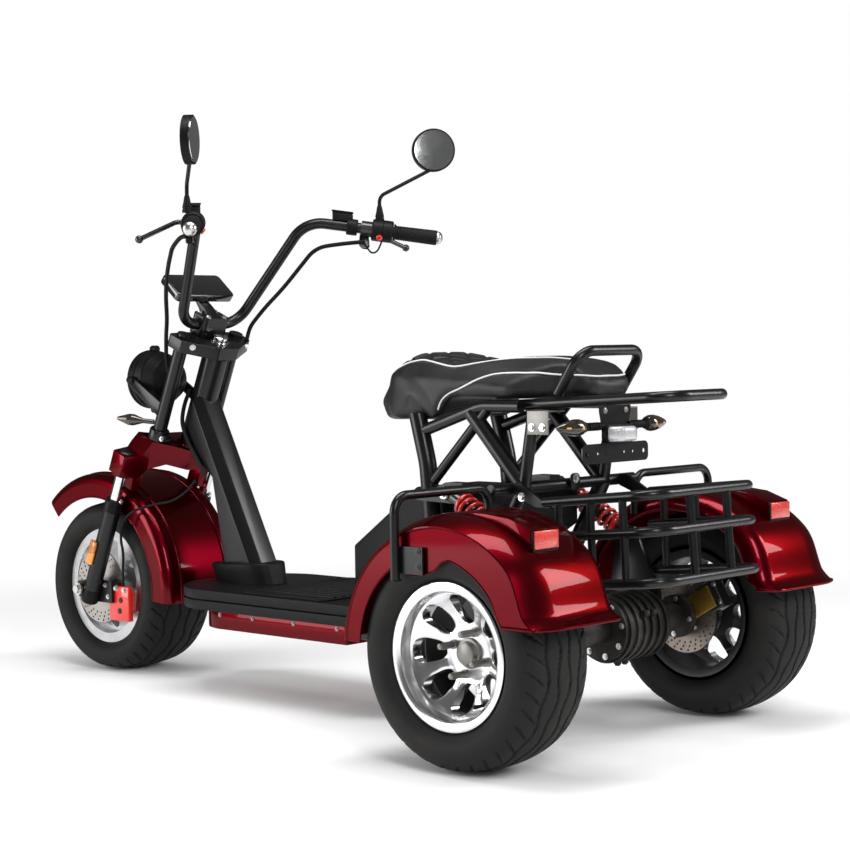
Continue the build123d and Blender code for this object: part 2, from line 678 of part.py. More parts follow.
box = prism(
    [
        (BOX_FRONT, deck_face),
        (BOX_FRONT, deck_face + BOX_FRONT_RISE),
        (BOX_TOP_FRONT, BOX_TOP),
        (BOX_REAR, BOX_TOP),
        (BOX_REAR, BOX_TOP - BOX_REAR_DEPTH),
        (BOX_FOOT_REAR, deck_face),
    ],
    about(0, BOX_HALF_WIDTH),
)
node("underseat_box", box)

# Seat: the side outline of a saddle, cut to its plan and to its crowned cross-section
SEAT_NOSE = 560
SEAT_TAIL = -15
SEAT_TOP = 790
SEAT_DIP = 766
SEAT_STEP_X = (310, 345)
SEAT_EDGE_DROP = 60
SEAT_CROWN = 7
SEAT_PLAN = [(SEAT_NOSE, 46), (466, 128), (130, 146), (50, 84), (SEAT_TAIL, 70)]
SEAT_PLAN_CORNER = 34
SEAT_CHIN = 27
SEAT_CHIN_X = 500
# The side outline: over the top from the nose to the tail, and under the base back to the nose
SEAT_OVER = [(SEAT_NOSE, SEAT_LOW_FRONT + SEAT_CHIN), (535, 736), (490, 772), (430, SEAT_TOP), (355, 777)]
SEAT_OVER += [(290, SEAT_DIP), (170, SEAT_TOP), (60, 784), (SEAT_TAIL, 745)]
SEAT_UNDER = [
    (SEAT_TAIL, SEAT_LOW_REAR),
    (SEAT_STEP_X[0], SEAT_LOW_REAR),
    (SEAT_STEP_X[1], SEAT_LOW_FRONT),
    (SEAT_CHIN_X, SEAT_LOW_FRONT),
    SEAT_OVER[0],
]

top_line = Spline(*[(x, 0, z) for x, z in SEAT_OVER])
under_line = Polyline(*[(x, 0, z) for x, z in (SEAT_OVER[-1], *SEAT_UNDER)])
seat_half = max(y for x, y in SEAT_PLAN)
seat = extrude(make_face([top_line, under_line]), amount=2 * seat_half, both=True, dir=(0, 1, 0))
plan = make_face(Polyline(*SEAT_PLAN, *[(x, -y) for x, y in reversed(SEAT_PLAN)], close=True))
plan = fillet(plan.vertices(), SEAT_PLAN_CORNER)
seat_low = min(SEAT_LOW_FRONT, SEAT_LOW_REAR)
seat = seat & extrude(Plane.XY.offset(seat_low - OVERCUT) * plan, amount=2 * (SEAT_TOP - seat_low))
crown_edge = (seat_half + OVERCUT, SEAT_TOP - SEAT_EDGE_DROP)
crown_section = Plane.YZ.offset(SEAT_TAIL - OVERCUT) * make_face(
    [
        ThreePointArc((-crown_edge[0], crown_edge[1]), (0, SEAT_TOP + SEAT_CROWN), crown_edge),
        Polyline(
            crown_edge, (crown_edge[0], seat_low - OVERCUT), (-crown_edge[0], seat_low - OVERCUT),
            (-crown_edge[0], crown_edge[1]),
        ),
    ]
)
seat = seat & extrude(crown_section, amount=SEAT_NOSE - SEAT_TAIL + 2 * OVERCUT)
node("seat", seat)

# Rack loop on its clamps, and the grab rail above it
RACK_FRONT = (120, 686)
RACK_REAR = (-257, 706)
RACK_BEND = 55
RACK_CROSS_X = -30
RACK_CROSS_TUBE = 16
CLAMP_X = (48, 92)
CLAMP_WALL = 3
CLAMP_DROP = 48
CLAMP_INSIDE = 10
CLAMP_SIDE_GAP = 2
GRAB_FOOT_X = 25
GRAB_SEAT = 7
GRAB_TOP = (-35, 795)
GRAB_BEND = 40


def rack_z(x):
    share = (x - RACK_FRONT[0]) / (RACK_REAR[0] - RACK_FRONT[0])
    return RACK_FRONT[1] + share * (RACK_REAR[1] - RACK_FRONT[1])


def loop(front, rear, half_width, bend, diameter):
    """A U of tube: two arms from the front, joined across the rear."""
    arm_points = [(front[0], half_width, front[1]), (rear[0], half_width, rear[1])]
    return rod([*arm_points, *[across(point) for point in reversed(arm_points)]], bend, diameter)


rack = loop(RACK_FRONT, RACK_REAR, RACK_Y, RACK_BEND, RACK_TUBE)
rack_cross = (RACK_CROSS_X, RACK_Y, rack_z(RACK_CROSS_X))
rack += rod([across(rack_cross), rack_cross], 0, RACK_CROSS_TUBE)
node("rear_rack", rack)
clamp_top = rack_z(CLAMP_X[1]) - RACK_TUBE / 2 - FIT
clamp_out = FRAME_Y + SEAT_TUBE / 2 + CLAMP_WALL + CLAMP_SIDE_GAP
clamp = block(CLAMP_X, (RACK_Y - CLAMP_INSIDE, clamp_out), (clamp_top - CLAMP_WALL, clamp_top))
clamp += block(CLAMP_X, (clamp_out - CLAMP_WALL, clamp_out), (clamp_top - CLAMP_DROP, clamp_top))
node("rack_clamps", both(clamp))
grab_foot = (GRAB_FOOT_X, rack_z(GRAB_FOOT_X) + RACK_TUBE / 2 + GRAB_SEAT)
node("grab_rail", loop(grab_foot, GRAB_TOP, RACK_Y, GRAB_BEND, RACK_TUBE))

# Plate bracket under the rack's cross tube, with its lamp and the rear signals
PLATE_THICKNESS = 3
PLATE_HALF_WIDTH = 107
PLATE_Z = (568, 608)
PLATE_NECK_HALF = 42
PLATE_HOLE_SPACING = 186
PLATE_HOLE_RADIUS = 4
LAMP_HALF_WIDTH = 40
LAMP_DEPTH = 42
LAMP_Z = (611, 642)
LAMP_CORNER = 30
SIGNAL_Z = 643
STALK = 12
REAR_POD_WIDTH = 34
POD_SHOULDERS = (0.35, 0.55)
POD_TIP = 4
REAR_POD_Y = (95, 178)
REAR_POD_AHEAD = 6

plate_x = RACK_CROSS_X - RACK_CROSS_TUBE / 2 - FIT
plate_faces = (plate_x - PLATE_THICKNESS, plate_x)
plate = block(plate_faces, about(0, PLATE_HALF_WIDTH), PLATE_Z)
plate += block(plate_faces, about(0, PLATE_NECK_HALF), (PLATE_Z[1], rack_z(RACK_CROSS_X)))
plate_hole = Rot(0, 90, 0) * Cylinder(PLATE_HOLE_RADIUS, 4 * PLATE_THICKNESS)
for sign in (1, -1):
    plate -= Pos(plate_x, sign * PLATE_HOLE_SPACING / 2, sum(PLATE_Z) / 2) * plate_hole
node("plate_bracket", plate)
plate_lamp = block((plate_x - LAMP_DEPTH, plate_faces[0] - FIT), about(0, LAMP_HALF_WIDTH), LAMP_Z)
plate_lamp = fillet(plate_lamp.edges().filter_by(Axis.Z).sort_by(Axis.X)[:2], LAMP_CORNER)
node("plate_lamp", plate_lamp)


def pod(start, end, width):
    """A lamp pod that swells from its stalk and comes to a rounded tip."""
    length = (Vector(*end) - Vector(*start)).length
    sides = [(width / 2, length * share) for share in POD_SHOULDERS]
    profile = Polyline((0, 0), (STALK / 2, 0), *sides, (POD_TIP, length), (0, length), close=True)
    body = revolve(Plane.XZ * make_face(profile), Axis.Z, 360)
    return Plane(origin=start, z_dir=unit(start, end)).location * body


stalk_x = plate_x - PLATE_THICKNESS / 2
stalk_y = (PLATE_NECK_HALF + FIT, REAR_POD_Y[0] + OVERCUT)
signal = rod([(stalk_x, y, SIGNAL_Z) for y in stalk_y], 0, STALK)
pod_tip = (stalk_x + REAR_POD_AHEAD, REAR_POD_Y[1], SIGNAL_Z)
signal += pod((stalk_x, REAR_POD_Y[0], SIGNAL_Z), pod_tip, REAR_POD_WIDTH)
node("rear_signals", both(signal))

# Basket behind the seat box: three U rails with uprights, hung from the cross bar
BASKET_BEND = 50
BASKET_FRONT = 5
BASKET_DROP = 26
UPRIGHT_TUBE = 16
REAR_UPRIGHTS = (-60, 60)
SIDE_UPRIGHTS = (-190, -110, -30)
UPRIGHT_LEAN = 8
TAB_HALF_THICKNESS = 4
TAB_FIT = 0.5
low_reach = -REAR_REACH + BASKET_TUBE / 2
# The rear x and rear z of each rail
BASKET_RAILS = [(low_reach + 14, 522), (low_reach + 8, 452), (low_reach, 355)]

basket_parts = []
for rear_x, rear_z in BASKET_RAILS:
    front = (BASKET_FRONT, rear_z - BASKET_DROP)
    basket_parts.append(loop(front, (rear_x, rear_z), BASKET_Y, BASKET_BEND, BASKET_TUBE))
top_rail, low_rail = BASKET_RAILS[0], BASKET_RAILS[-1]
for y in REAR_UPRIGHTS:
    basket_parts.append(rod([(top_rail[0], y, top_rail[1]), (low_rail[0], y, low_rail[1])], 0, UPRIGHT_TUBE))
for x in SIDE_UPRIGHTS:
    drop = BASKET_DROP * (1 - (x - BASKET_FRONT) / (top_rail[0] - BASKET_FRONT))
    head, foot = (x, BASKET_Y, top_rail[1] - drop), (x - UPRIGHT_LEAN, BASKET_Y, low_rail[1] - drop)
    basket_parts.append(rod([head, foot], 0, UPRIGHT_TUBE))
    basket_parts.append(rod([across(head), across(foot)], 0, UPRIGHT_TUBE))
tab_x = CROSS_X - CROSS_TUBE / 2 - TAB_FIT
tab_z = top_rail[1] - BASKET_DROP - BASKET_TUBE / 2
tab = prism(
    [
        (BASKET_FRONT + BASKET_TUBE, tab_z),
        (BASKET_FRONT - BASKET_TUBE, tab_z),
        (tab_x - BASKET_TUBE, CROSS_Z + CROSS_TUBE / 2),
        (tab_x, CROSS_Z + CROSS_TUBE / 2),
        (tab_x, CROSS_Z - CROSS_TUBE / 2),
    ],
    about(BASKET_Y, TAB_HALF_THICKNESS),
)
node("basket", joined([*basket_parts, tab, mirrored(tab)]))

# Guard hoops over the fenders, each with the plate that holds its outer end
HOOP_PLATE = 5
HOOP_TOP = 527
HOOP_IN_LOW = 440
HOOP_OUT_LOW = 368
HOOP_BEND = 34
HOOP_PLATE_X = (30, CROSS_X + 10)
HOOP_PLATE_Z = (380, 432)

hoop_face = fender_out + FIT
hoop_out_y = hoop_face + HOOP_PLATE / 2 + HOOP_TUBE / 2
hoop = rod(
    [
        (CROSS_X, hoop_in_y, HOOP_IN_LOW),
        (CROSS_X, hoop_in_y, HOOP_TOP),
        (CROSS_X, hoop_out_y, HOOP_TOP),
        (CROSS_X, hoop_out_y, HOOP_OUT_LOW),
    ],
    HOOP_BEND, HOOP_TUBE,
)
hoop += block(HOOP_PLATE_X, (hoop_face, hoop_face + HOOP_PLATE), HOOP_PLATE_Z)
node("guard_hoops", both(hoop))

# Fork, drawn in the steering axis's own frame: x ahead of the axis, z up along it
YOKE_TOP = -45
YOKE_MIDDLE_LOW = -96
YOKE_LOW = -146
SOCKET_RADIUS = 24
SOCKET_TOP = -92
SOCKET_LOW = -150
SOCKET_ROOF = 20
YOKE_PLAN = [(-38, 30), (-10, 60), (25, 104), (44, 166), (88, 166), (90, 116), (72, 62)]
YOKE_WING = [(104, YOKE_TOP), (124, -86), (166, SOCKET_TOP), (166, YOKE_LOW), (118, YOKE_LOW), (100, -118)]
YOKE_FRONT = [*YOKE_WING, (70, YOKE_MIDDLE_LOW)]
YOKE_BOSS = 6
FLANGE_Y = (94, 112)
FLANGE_BACK = 22
LEG_TOP = -222
LEG_END = 26
STANCHION_DEPTH = 40
CLAMP_GAP = 6
CLAMP_THICKNESS = 30
TUBE_PROUD = 8
STEM_PROUD = 6

stem_radius = HEAD_BORE - RUNNING_FIT
clamp_low = HEAD_TOP + CLAMP_GAP
clamp_high = clamp_low + CLAMP_THICKNESS
front_crown = FRONT_TYRE_RADIUS + FRONT_CROWN_GAP
leg_low = AXLE_ON_FORK.Z - LEG_END
stanchion_low = LEG_TOP - STANCHION_DEPTH


def post(x, y, radius, z):
    """A cylinder along the steering direction, between two heights."""
    return Pos(x, y, (z[0] + z[1]) / 2) * Cylinder(radius, z[1] - z[0])


def plate_on_fork(outline, z):
    """A plate across the steering direction from one half of its outline, (x, y) points."""
    points = [*outline, *[(x, -y) for x, y in reversed(outline)]]
    return extrude(Plane.XY.offset(z[0]) * make_face(Polyline(*points, close=True)), amount=z[1] - z[0])


yoke_front = [*YOKE_FRONT, *[(-y, z) for y, z in reversed(YOKE_FRONT)]]
yoke_face = make_face(Polyline(*[(0, y, z) for y, z in yoke_front], close=True))
yoke = plate_on_fork(YOKE_PLAN, (YOKE_LOW, YOKE_TOP))
yoke = yoke & extrude(yoke_face, amount=2 * LEG_Y, both=True, dir=(1, 0, 0))
yoke += post(0, 0, HEAD_RADIUS + YOKE_BOSS, (YOKE_TOP - YOKE_BOSS, HEAD_LOW - RUNNING_FIT))
flange_x = (LEG_AHEAD - FLANGE_BACK, AXLE_ON_FORK.X)
flange_z = (AXLE_ON_FORK.Z + front_crown + FIT, YOKE_LOW + OVERCUT)
flange = block(flange_x, FLANGE_Y, flange_z)
flange += block(flange_x, (FLANGE_Y[0], LEG_Y), (YOKE_LOW, YOKE_LOW + SOCKET_ROOF))
yoke += flange + mirrored(flange)
for y in (LEG_Y, -LEG_Y):
    yoke += post(LEG_AHEAD, y, SOCKET_RADIUS, (SOCKET_LOW, SOCKET_TOP))
for y in (LEG_Y, -LEG_Y):
    yoke -= post(LEG_AHEAD, y, STANCHION_RADIUS + FIT, (SOCKET_LOW - OVERCUT, SOCKET_TOP - SOCKET_ROOF))
yoke -= post(0, 0, stem_radius + FIT, (YOKE_LOW, HEAD_LOW))
node("fork_yoke", on_fork(yoke))

upper_tube_z = (YOKE_TOP + FIT, clamp_high + TUBE_PROUD)
upper_tube = post(UPPER_TUBE_AHEAD, UPPER_TUBE_Y, UPPER_TUBE_RADIUS, upper_tube_z)
stanchion_z = (stanchion_low, SOCKET_TOP - SOCKET_ROOF - RUNNING_FIT)
stanchion = post(LEG_AHEAD, LEG_Y, STANCHION_RADIUS, stanchion_z)
node("fork_upper_tubes", on_fork(both(upper_tube)))
node("fork_stanchions", on_fork(both(stanchion)))

# Fork legs with the lug for the front caliper, and the axle between them
AXLE_SPACER = 14
AXLE_BOSS = 21
AXLE_BOSS_INSET = 2
AXLE_NUT = 8
CALIPER_LUG_THICKNESS = 9
CALIPER_LUG_LENGTH = 84
CALIPER_LUG_Z = (-34, 22)

lug_in = LEG_Y - LEG_RADIUS + OVERCUT
lug_y = (lug_in, lug_in + CALIPER_LUG_THICKNESS)
leg = post(LEG_AHEAD, LEG_Y, LEG_RADIUS, (leg_low, LEG_TOP))
leg_bore_z = (stanchion_low - OVERCUT, LEG_TOP + OVERCUT)
leg = on_fork(leg - post(LEG_AHEAD, LEG_Y, STANCHION_RADIUS + FIT, leg_bore_z))
leg += disc(FRONT_AXLE, AXLE_BOSS, about(LEG_Y, LEG_RADIUS - AXLE_BOSS_INSET))
left_leg = leg + block(
    (WHEELBASE - CALIPER_LUG_LENGTH, WHEELBASE), lug_y, [FRONT_TYRE_RADIUS + z for z in CALIPER_LUG_Z]
)
axle_hole = disc(FRONT_AXLE, AXLE_RADIUS + FIT, about(0, 2 * LEG_Y))
axle_hole += disc(FRONT_AXLE, AXLE_SPACER + FIT, about(0, lug_y[1] + OVERCUT))
node("fork_legs", group([left_leg - axle_hole, mirrored(leg) - axle_hole]))
front_axle = disc(FRONT_AXLE, AXLE_RADIUS, about(0, LEG_Y + LEG_RADIUS + AXLE_NUT))
front_axle += disc(FRONT_AXLE, AXLE_SPACER, (front_disc_faces[1] + RUNNING_FIT, lug_y[1]))
front_axle += disc(FRONT_AXLE, AXLE_SPACER, (-lug_y[1], FRONT_HUB_RIGHT - RUNNING_FIT))
node("front_axle", front_axle)

# Front brake caliper, straddling the disc behind the left leg
CALIPER_INNER = 6
CALIPER_BRIDGE = 5
CALIPER_BACK = 32
CALIPER_FRONT = 70
CALIPER_Z = (-60, -4)
CALIPER_BODY_X = (-138, -62)
CALIPER_BODY_Z = (-78, 8)

caliper_in = (front_disc_faces[0] - CLEAR - CALIPER_INNER, front_disc_faces[0] - CLEAR)
caliper_out = (front_disc_faces[1] + CLEAR, lug_y[0] - FIT)
caliper_z = [FRONT_TYRE_RADIUS + z for z in CALIPER_Z]
caliper_back = WHEELBASE - FRONT_DISC_RADIUS - CALIPER_BACK
bridge_x = (caliper_back, WHEELBASE - FRONT_DISC_RADIUS - CLEAR - CALIPER_BRIDGE)
caliper_top = FRONT_TYRE_RADIUS + CALIPER_BODY_Z[1]
caliper = block((caliper_back, WHEELBASE - CALIPER_FRONT), caliper_in, caliper_z)
caliper += block(
    [WHEELBASE + x for x in CALIPER_BODY_X], caliper_out, (FRONT_TYRE_RADIUS + CALIPER_BODY_Z[0], caliper_top)
)
caliper += block(bridge_x, (caliper_in[0], caliper_out[1]), caliper_z)
node("front_caliper", caliper)

# Front fender
FRONT_FENDER_EDGE = 226
FRONT_FENDER_CORNER = 25
FRONT_FENDER_ANGLES = (49, 185)

front_half = FRONT_TYRE_WIDTH / 2 + FRONT_SIDE_GAP
front_fender = fender_shell(
    (-front_half, front_half), front_crown, (FRONT_FENDER_EDGE, FRONT_FENDER_EDGE),
    (FRONT_FENDER_CORNER, FRONT_FENDER_CORNER), FRONT_AXLE, FRONT_FENDER_ANGLES,
)
node("front_fender", front_fender)

# Top clamp with the steering stem, the handlebar, its clamp and the display
CLAMP_PLAN = [(-42, 30), (-20, 62), (10, 108), (60, 112), (66, 60)]
CLAMP_CORNER = 10
BAR_LOW_BEND = 62
BAR_HIGH_BEND = 80
BAR_CLAMP_HALF_LENGTH = 26
BAR_CLAMP_HALF_WIDTH = 40
BAR_CLAMP_OVER = 24
BAR_CLAMP_CORNER = 12
DISPLAY_LENGTH = 84
DISPLAY_WIDTH = 178
DISPLAY_THICKNESS = 22
DISPLAY_TILT = -16
DISPLAY_AHEAD = 74
DISPLAY_UP = 64
DISPLAY_CORNER = 12
DISPLAY_ARM_HALF = 16
DISPLAY_ARM_BACK = 4
DISPLAY_ARM_TOP = 20

top_clamp = plate_on_fork(CLAMP_PLAN, (clamp_low, clamp_high))
top_clamp = fillet(top_clamp.edges().filter_by(Axis.Z), CLAMP_CORNER)
top_clamp += post(0, 0, stem_radius, (YOKE_MIDDLE_LOW, clamp_high + STEM_PROUD))
tube_hole_z = (clamp_low - OVERCUT, clamp_high + OVERCUT)
for y in (UPPER_TUBE_Y, -UPPER_TUBE_Y):
    top_clamp -= post(UPPER_TUBE_AHEAD, y, UPPER_TUBE_RADIUS + FIT, tube_hole_z)
node("top_clamp", on_fork(top_clamp))

bar_low, bar_high, bar_end = [from_head(point) for point in (BAR_LOW, BAR_HIGH, BAR_END)]
bar_half = [bar_end, bar_high, bar_low]
bar_bends = [BAR_HIGH_BEND, BAR_LOW_BEND, BAR_LOW_BEND, BAR_HIGH_BEND]
node("handlebar", rod([*bar_half, *[across(point) for point in reversed(bar_half)]], bar_bends, BAR_TUBE))
bar_mid = FORK.to_local_coords(Vector(bar_low[0], 0, bar_low[2]))
bar_clamp = block(
    about(bar_mid.X, BAR_CLAMP_HALF_LENGTH), about(0, BAR_CLAMP_HALF_WIDTH),
    (clamp_high + FIT, bar_mid.Z + BAR_CLAMP_OVER),
)
bar_clamp = fillet(bar_clamp.edges().filter_by(Axis.Z), BAR_CLAMP_CORNER)
display_spot = Pos(bar_mid.X + DISPLAY_AHEAD, 0, bar_mid.Z + DISPLAY_UP) * Rot(0, DISPLAY_TILT, 0)
display = Box(DISPLAY_LENGTH, DISPLAY_WIDTH, DISPLAY_THICKNESS)
display = display_spot * fillet(display.edges().filter_by(Axis.Z), DISPLAY_CORNER)
arm_foot = bar_mid.Z + BAR_CLAMP_OVER - OVERCUT
arm_head = about(bar_mid.X + DISPLAY_AHEAD, DISPLAY_ARM_TOP)
arm_outline = [
    (bar_mid.X - DISPLAY_ARM_BACK, arm_foot),
    (bar_mid.X + BAR_CLAMP_HALF_LENGTH, arm_foot),
    (arm_head[1], bar_mid.Z + DISPLAY_UP),
    (arm_head[0], bar_mid.Z + DISPLAY_UP),
]
under_display = display_spot * block(
    about(0, DISPLAY_LENGTH), about(0, DISPLAY_WIDTH), (-DISPLAY_THICKNESS / 2 - FIT, DISPLAY_LENGTH)
)
bar_clamp += prism(arm_outline, about(0, DISPLAY_ARM_HALF)) - under_display
bar_hole = Rot(90, 0, 0) * Cylinder(BAR_TUBE / 2 + FIT, 4 * BAR_CLAMP_HALF_WIDTH)
bar_clamp -= Pos(bar_mid.X, 0, bar_mid.Z) * bar_hole
node("bar_clamp", on_fork(bar_clamp))
node("display", on_fork(display))

# Headlight with its arms, from the middle of the steering head
LAMP_AHEAD = 142
LAMP_UP = 119
LAMP_RADIUS = 72
LAMP_BOWL = [(-72, 0), (-68, 22), (-48, 50), (-14, 67), (10, LAMP_RADIUS), (28, LAMP_RADIUS), (28, 0)]
LAMP_EAR_RADIUS = 9
LAMP_EAR_OUT = 4
LAMP_EAR_X = (3, 25)
LAMP_EARS = 4
LENS_DEPTH = 12
LENS_INSET = 6
LAMP_ARM_THICKNESS = 6
LAMP_ARM_ROOT = (4, 40)
LAMP_ARM_END = 12
LAMP_ARM_AHEAD = 20

lamp_x, lamp_z = STEER_X + LAMP_AHEAD, STEER_Z + LAMP_UP
lamp_axis = Axis((lamp_x, 0, lamp_z), (1, 0, 0))
bowl = make_face(Polyline(*[(lamp_x + x, 0, lamp_z + r) for x, r in LAMP_BOWL], close=True))
headlight = revolve(bowl, lamp_axis, 360)
ear = Rot(0, 90, 0) * Cylinder(LAMP_EAR_RADIUS, LAMP_EAR_X[1] - LAMP_EAR_X[0])
ear = Pos(lamp_x + sum(LAMP_EAR_X) / 2, 0, lamp_z + LAMP_RADIUS + LAMP_EAR_OUT) * ear
for turn in range(LAMP_EARS):
    headlight += ear.rotate(lamp_axis, 360 / LAMP_EARS * (turn + 1 / 2))
node("headlight", headlight)
lens_x = LAMP_BOWL[-1][0] + FIT + LENS_DEPTH / 2
lens = Rot(0, 90, 0) * Cylinder(LAMP_RADIUS - LENS_INSET, LENS_DEPTH)
node("headlight_lens", Pos(lamp_x + lens_x, 0, lamp_z) * lens)
lamp_hold = FORK.to_local_coords(Vector(lamp_x + LAMP_ARM_AHEAD, 0, lamp_z))
arm_root_x = UPPER_TUBE_AHEAD + UPPER_TUBE_RADIUS + FIT
lamp_arm = prism(
    [
        *[(arm_root_x, z) for z in LAMP_ARM_ROOT],
        (lamp_hold.X, lamp_hold.Z + LAMP_ARM_END),
        (lamp_hold.X + LAMP_ARM_END, lamp_hold.Z),
        (lamp_hold.X, lamp_hold.Z - LAMP_ARM_END),
    ],
    (LAMP_RADIUS + FIT, LAMP_RADIUS + FIT + LAMP_ARM_THICKNESS),
)
node("headlight_arms", on_fork(both(lamp_arm)))

# Front signals on the upper tubes, and the reflectors on the fork legs
SIGNAL_TIP = (128, 145, -26)
FRONT_POD_WIDTH = 28
STALK_OVERLAP = 0.02
SIGNAL_ROOT_GAP = 1.6
SIGNAL_STALK = 0.3
LEG_REFLECTOR = (24, 8, 62)
LEG_REFLECTOR_Z = -366
LEG_REFLECTOR_AHEAD = 8

tube_middle = (UPPER_TUBE_AHEAD, UPPER_TUBE_Y, 0)
signal_reach = (Vector(*SIGNAL_TIP) - Vector(*tube_middle)).length
signal_root = between(tube_middle, SIGNAL_TIP, (UPPER_TUBE_RADIUS + FIT + SIGNAL_ROOT_GAP) / signal_reach)
front_pod = between(signal_root, SIGNAL_TIP, SIGNAL_STALK)
front_signal = rod([signal_root, between(signal_root, SIGNAL_TIP, SIGNAL_STALK + STALK_OVERLAP)], 0, STALK)
node("front_signals", on_fork(both(front_signal + pod(front_pod, SIGNAL_TIP, FRONT_POD_WIDTH))))
leg_reflector_y = LEG_Y + LEG_RADIUS + FIT + LEG_REFLECTOR[1] / 2
leg_reflector = Pos(LEG_AHEAD + LEG_REFLECTOR_AHEAD, leg_reflector_y, LEG_REFLECTOR_Z) * Box(*LEG_REFLECTOR)
node("leg_reflectors", on_fork(both(leg_reflector)))

# Grips, switch housings, levers and mirrors, measured back along the bar from its end
GRIP_DIAMETER = 35
GRIP_LENGTH = 108
BAR_CAP = 4
HOUSING_DIAMETER = 54
HOUSING_LENGTH = 52
PERCH_DIAMETER = 38
PERCH_LENGTH = 26
PERCH_BITE = 3
LEVER_REACH = 40
LEVER_TIP = (-319, 422, 437)
LEVER_TUBE = 11
LEVER_BEND = 14
LEVER_BALL = 9
MIRROR_DEPTH = 18
MIRROR_FACING = (-0.8, 0.6, 0)
MIRROR_STEM = 9
MIRROR_SEAT = 0.6
MIRROR_AHEAD = 13
MIRROR_BACK = 145
MIRROR_STRAIGHT = 58
MIRROR_BEND = 24
GLASS_THICKNESS = 2
GLASS_INSET = 4

bar_axis = unit(bar_high, bar_end)


def on_bar(back):
    return tuple(Vector(*bar_end) - bar_axis * back)


def sleeve(start, length, diameter):
    """A sleeve on the straight end of the left bar."""
    outer = rod([on_bar(start + length), on_bar(start)], 0, diameter)
    return outer - rod([on_bar(start + length + OVERCUT), on_bar(start - OVERCUT)], 0, BAR_TUBE + 2 * FIT)


housing_at = BAR_CAP + GRIP_LENGTH + FIT
perch_at = housing_at + HOUSING_LENGTH + FIT
perch_middle = Vector(*on_bar(perch_at + PERCH_LENGTH / 2))
node("grips", both(sleeve(BAR_CAP, GRIP_LENGTH, GRIP_DIAMETER)))
node("switch_housings", both(sleeve(housing_at, HOUSING_LENGTH, HOUSING_DIAMETER)))
lever_side = bar_axis.cross(Vector(0, 0, 1)).normalized()
lever_points = [
    perch_middle + lever_side * (PERCH_DIAMETER / 2 - PERCH_BITE),
    perch_middle + lever_side * LEVER_REACH,
    Vector(*from_head(LEVER_TIP)),
]
lever = rod([tuple(point) for point in lever_points], LEVER_BEND, LEVER_TUBE)
lever += Pos(*lever_points[-1]) * Sphere(LEVER_BALL)
node("brake_levers", both(sleeve(perch_at, PERCH_LENGTH, PERCH_DIAMETER) + lever))

mirror_inside = MIRROR_AHEAD - MIRROR_STEM / 2
mirror_lift = Vector(0, 0, sqrt((HOUSING_DIAMETER / 2) ** 2 - mirror_inside**2) + MIRROR_SEAT)
mirror_foot = Vector(*on_bar(MIRROR_BACK)) + lever_side * MIRROR_AHEAD + mirror_lift
mirrors = []
glasses = []
for spot, side in ((LEFT_MIRROR, -1), (RIGHT_MIRROR, 1)):
    middle = Vector(*from_head(spot))
    facing = Vector(MIRROR_FACING[0], side * MIRROR_FACING[1], MIRROR_FACING[2])
    foot = Vector(mirror_foot.X, -side * mirror_foot.Y, mirror_foot.Z)
    elbow = foot + Vector(0, 0, MIRROR_STRAIGHT)
    back = middle - facing * (MIRROR_DEPTH / 2) - Vector(0, 0, MIRROR_RADIUS - MIRROR_STEM)
    face_on = Plane(origin=middle, z_dir=facing).location
    shell = face_on * (Pos(0, 0, -MIRROR_DEPTH / 2) * Cylinder(MIRROR_RADIUS, MIRROR_DEPTH))
    mirrors.append(shell + rod([tuple(foot), tuple(elbow), tuple(back)], MIRROR_BEND, MIRROR_STEM))
    glass = Pos(0, 0, FIT + GLASS_THICKNESS / 2) * Cylinder(MIRROR_RADIUS - GLASS_INSET, GLASS_THICKNESS)
    glasses.append(face_on * glass)
node("mirrors", group(mirrors))
node("mirror_glass", group(glasses))

# Cables: the looms of the bar's switches, the loom on the neck and the front brake hose
LOOM_DIAMETER = 10
HOSE_DIAMETER = 6.5
BEND_SHARE = 0.45
# Routes of the bar's looms and the hose, from the middle of the steering head
LEFT_LOOM = [(-339, 303.7, 447.2), (-300, 290, 446), (-274, 292, 424), (-200, 246, 380), (-128, 194, 324)]
LEFT_LOOM += [(-68, 142, 266), (-14, 102, 226)]
RIGHT_LOOM = [(-330, -262, 448), (-290, -226, 444), (-238, -188, 436), (-162, -150, 340), (-116, -128, 292)]
HOSE = [(159, 113.5, -392.4), (156, 116, -352), (148, 119, -310), (138, 136, -268), (118, 140, -222)]
HOSE += [(84, 132, -198), (40, 108, -184), (-8, 88, -176), (-44, 72, -152), (-64, 61, -124)]
# The ends of the looms in the steering axis's own frame, and the loom along the neck
LEFT_LOOM_END = [(70, 88, 150), (60, 64, 100), (46, 52, 58)]
RIGHT_LOOM_END = [(16, -102, 262), (8, -95, 229)]
NECK_LOOM = [(26, 30, 92), (20, 41, 52), (3, 50, 14), (-40, 50, -22), (-86, 50, -46), (-126, 50, -68)]


def cable(points, diameter):
    """A cable whose bends are as large as its runs allow."""
    spots = [Vector(*point) for point in points]
    runs = [after - before for before, after in zip(spots, spots[1:])]
    bends = []
    for first, second in zip(runs, runs[1:]):
        half_turn = radians(first.get_angle(second) / 2)
        bends.append(BEND_SHARE * min(first.length, second.length) / tan(half_turn))
    print(f"smallest bend radius of the cable: {min(bends):.0f}")
    return rod(points, bends, diameter)


def loom(start, end):
    points = [from_head(point) for point in start] + [fork_point(point) for point in end]
    return cable(points, LOOM_DIAMETER)


node("bar_looms", group([loom(LEFT_LOOM, LEFT_LOOM_END), loom(RIGHT_LOOM, RIGHT_LOOM_END)]))
node("neck_loom", loom([], NECK_LOOM))
node("brake_hose", cable([from_head(point) for point in HOSE], HOSE_DIAMETER))

# Export
os.makedirs("parts", exist_ok=True)
for name, part in NODES.items():
    export_step(Pos(SHIFT_X, 0, 0) * part, f"parts/{name}.step")
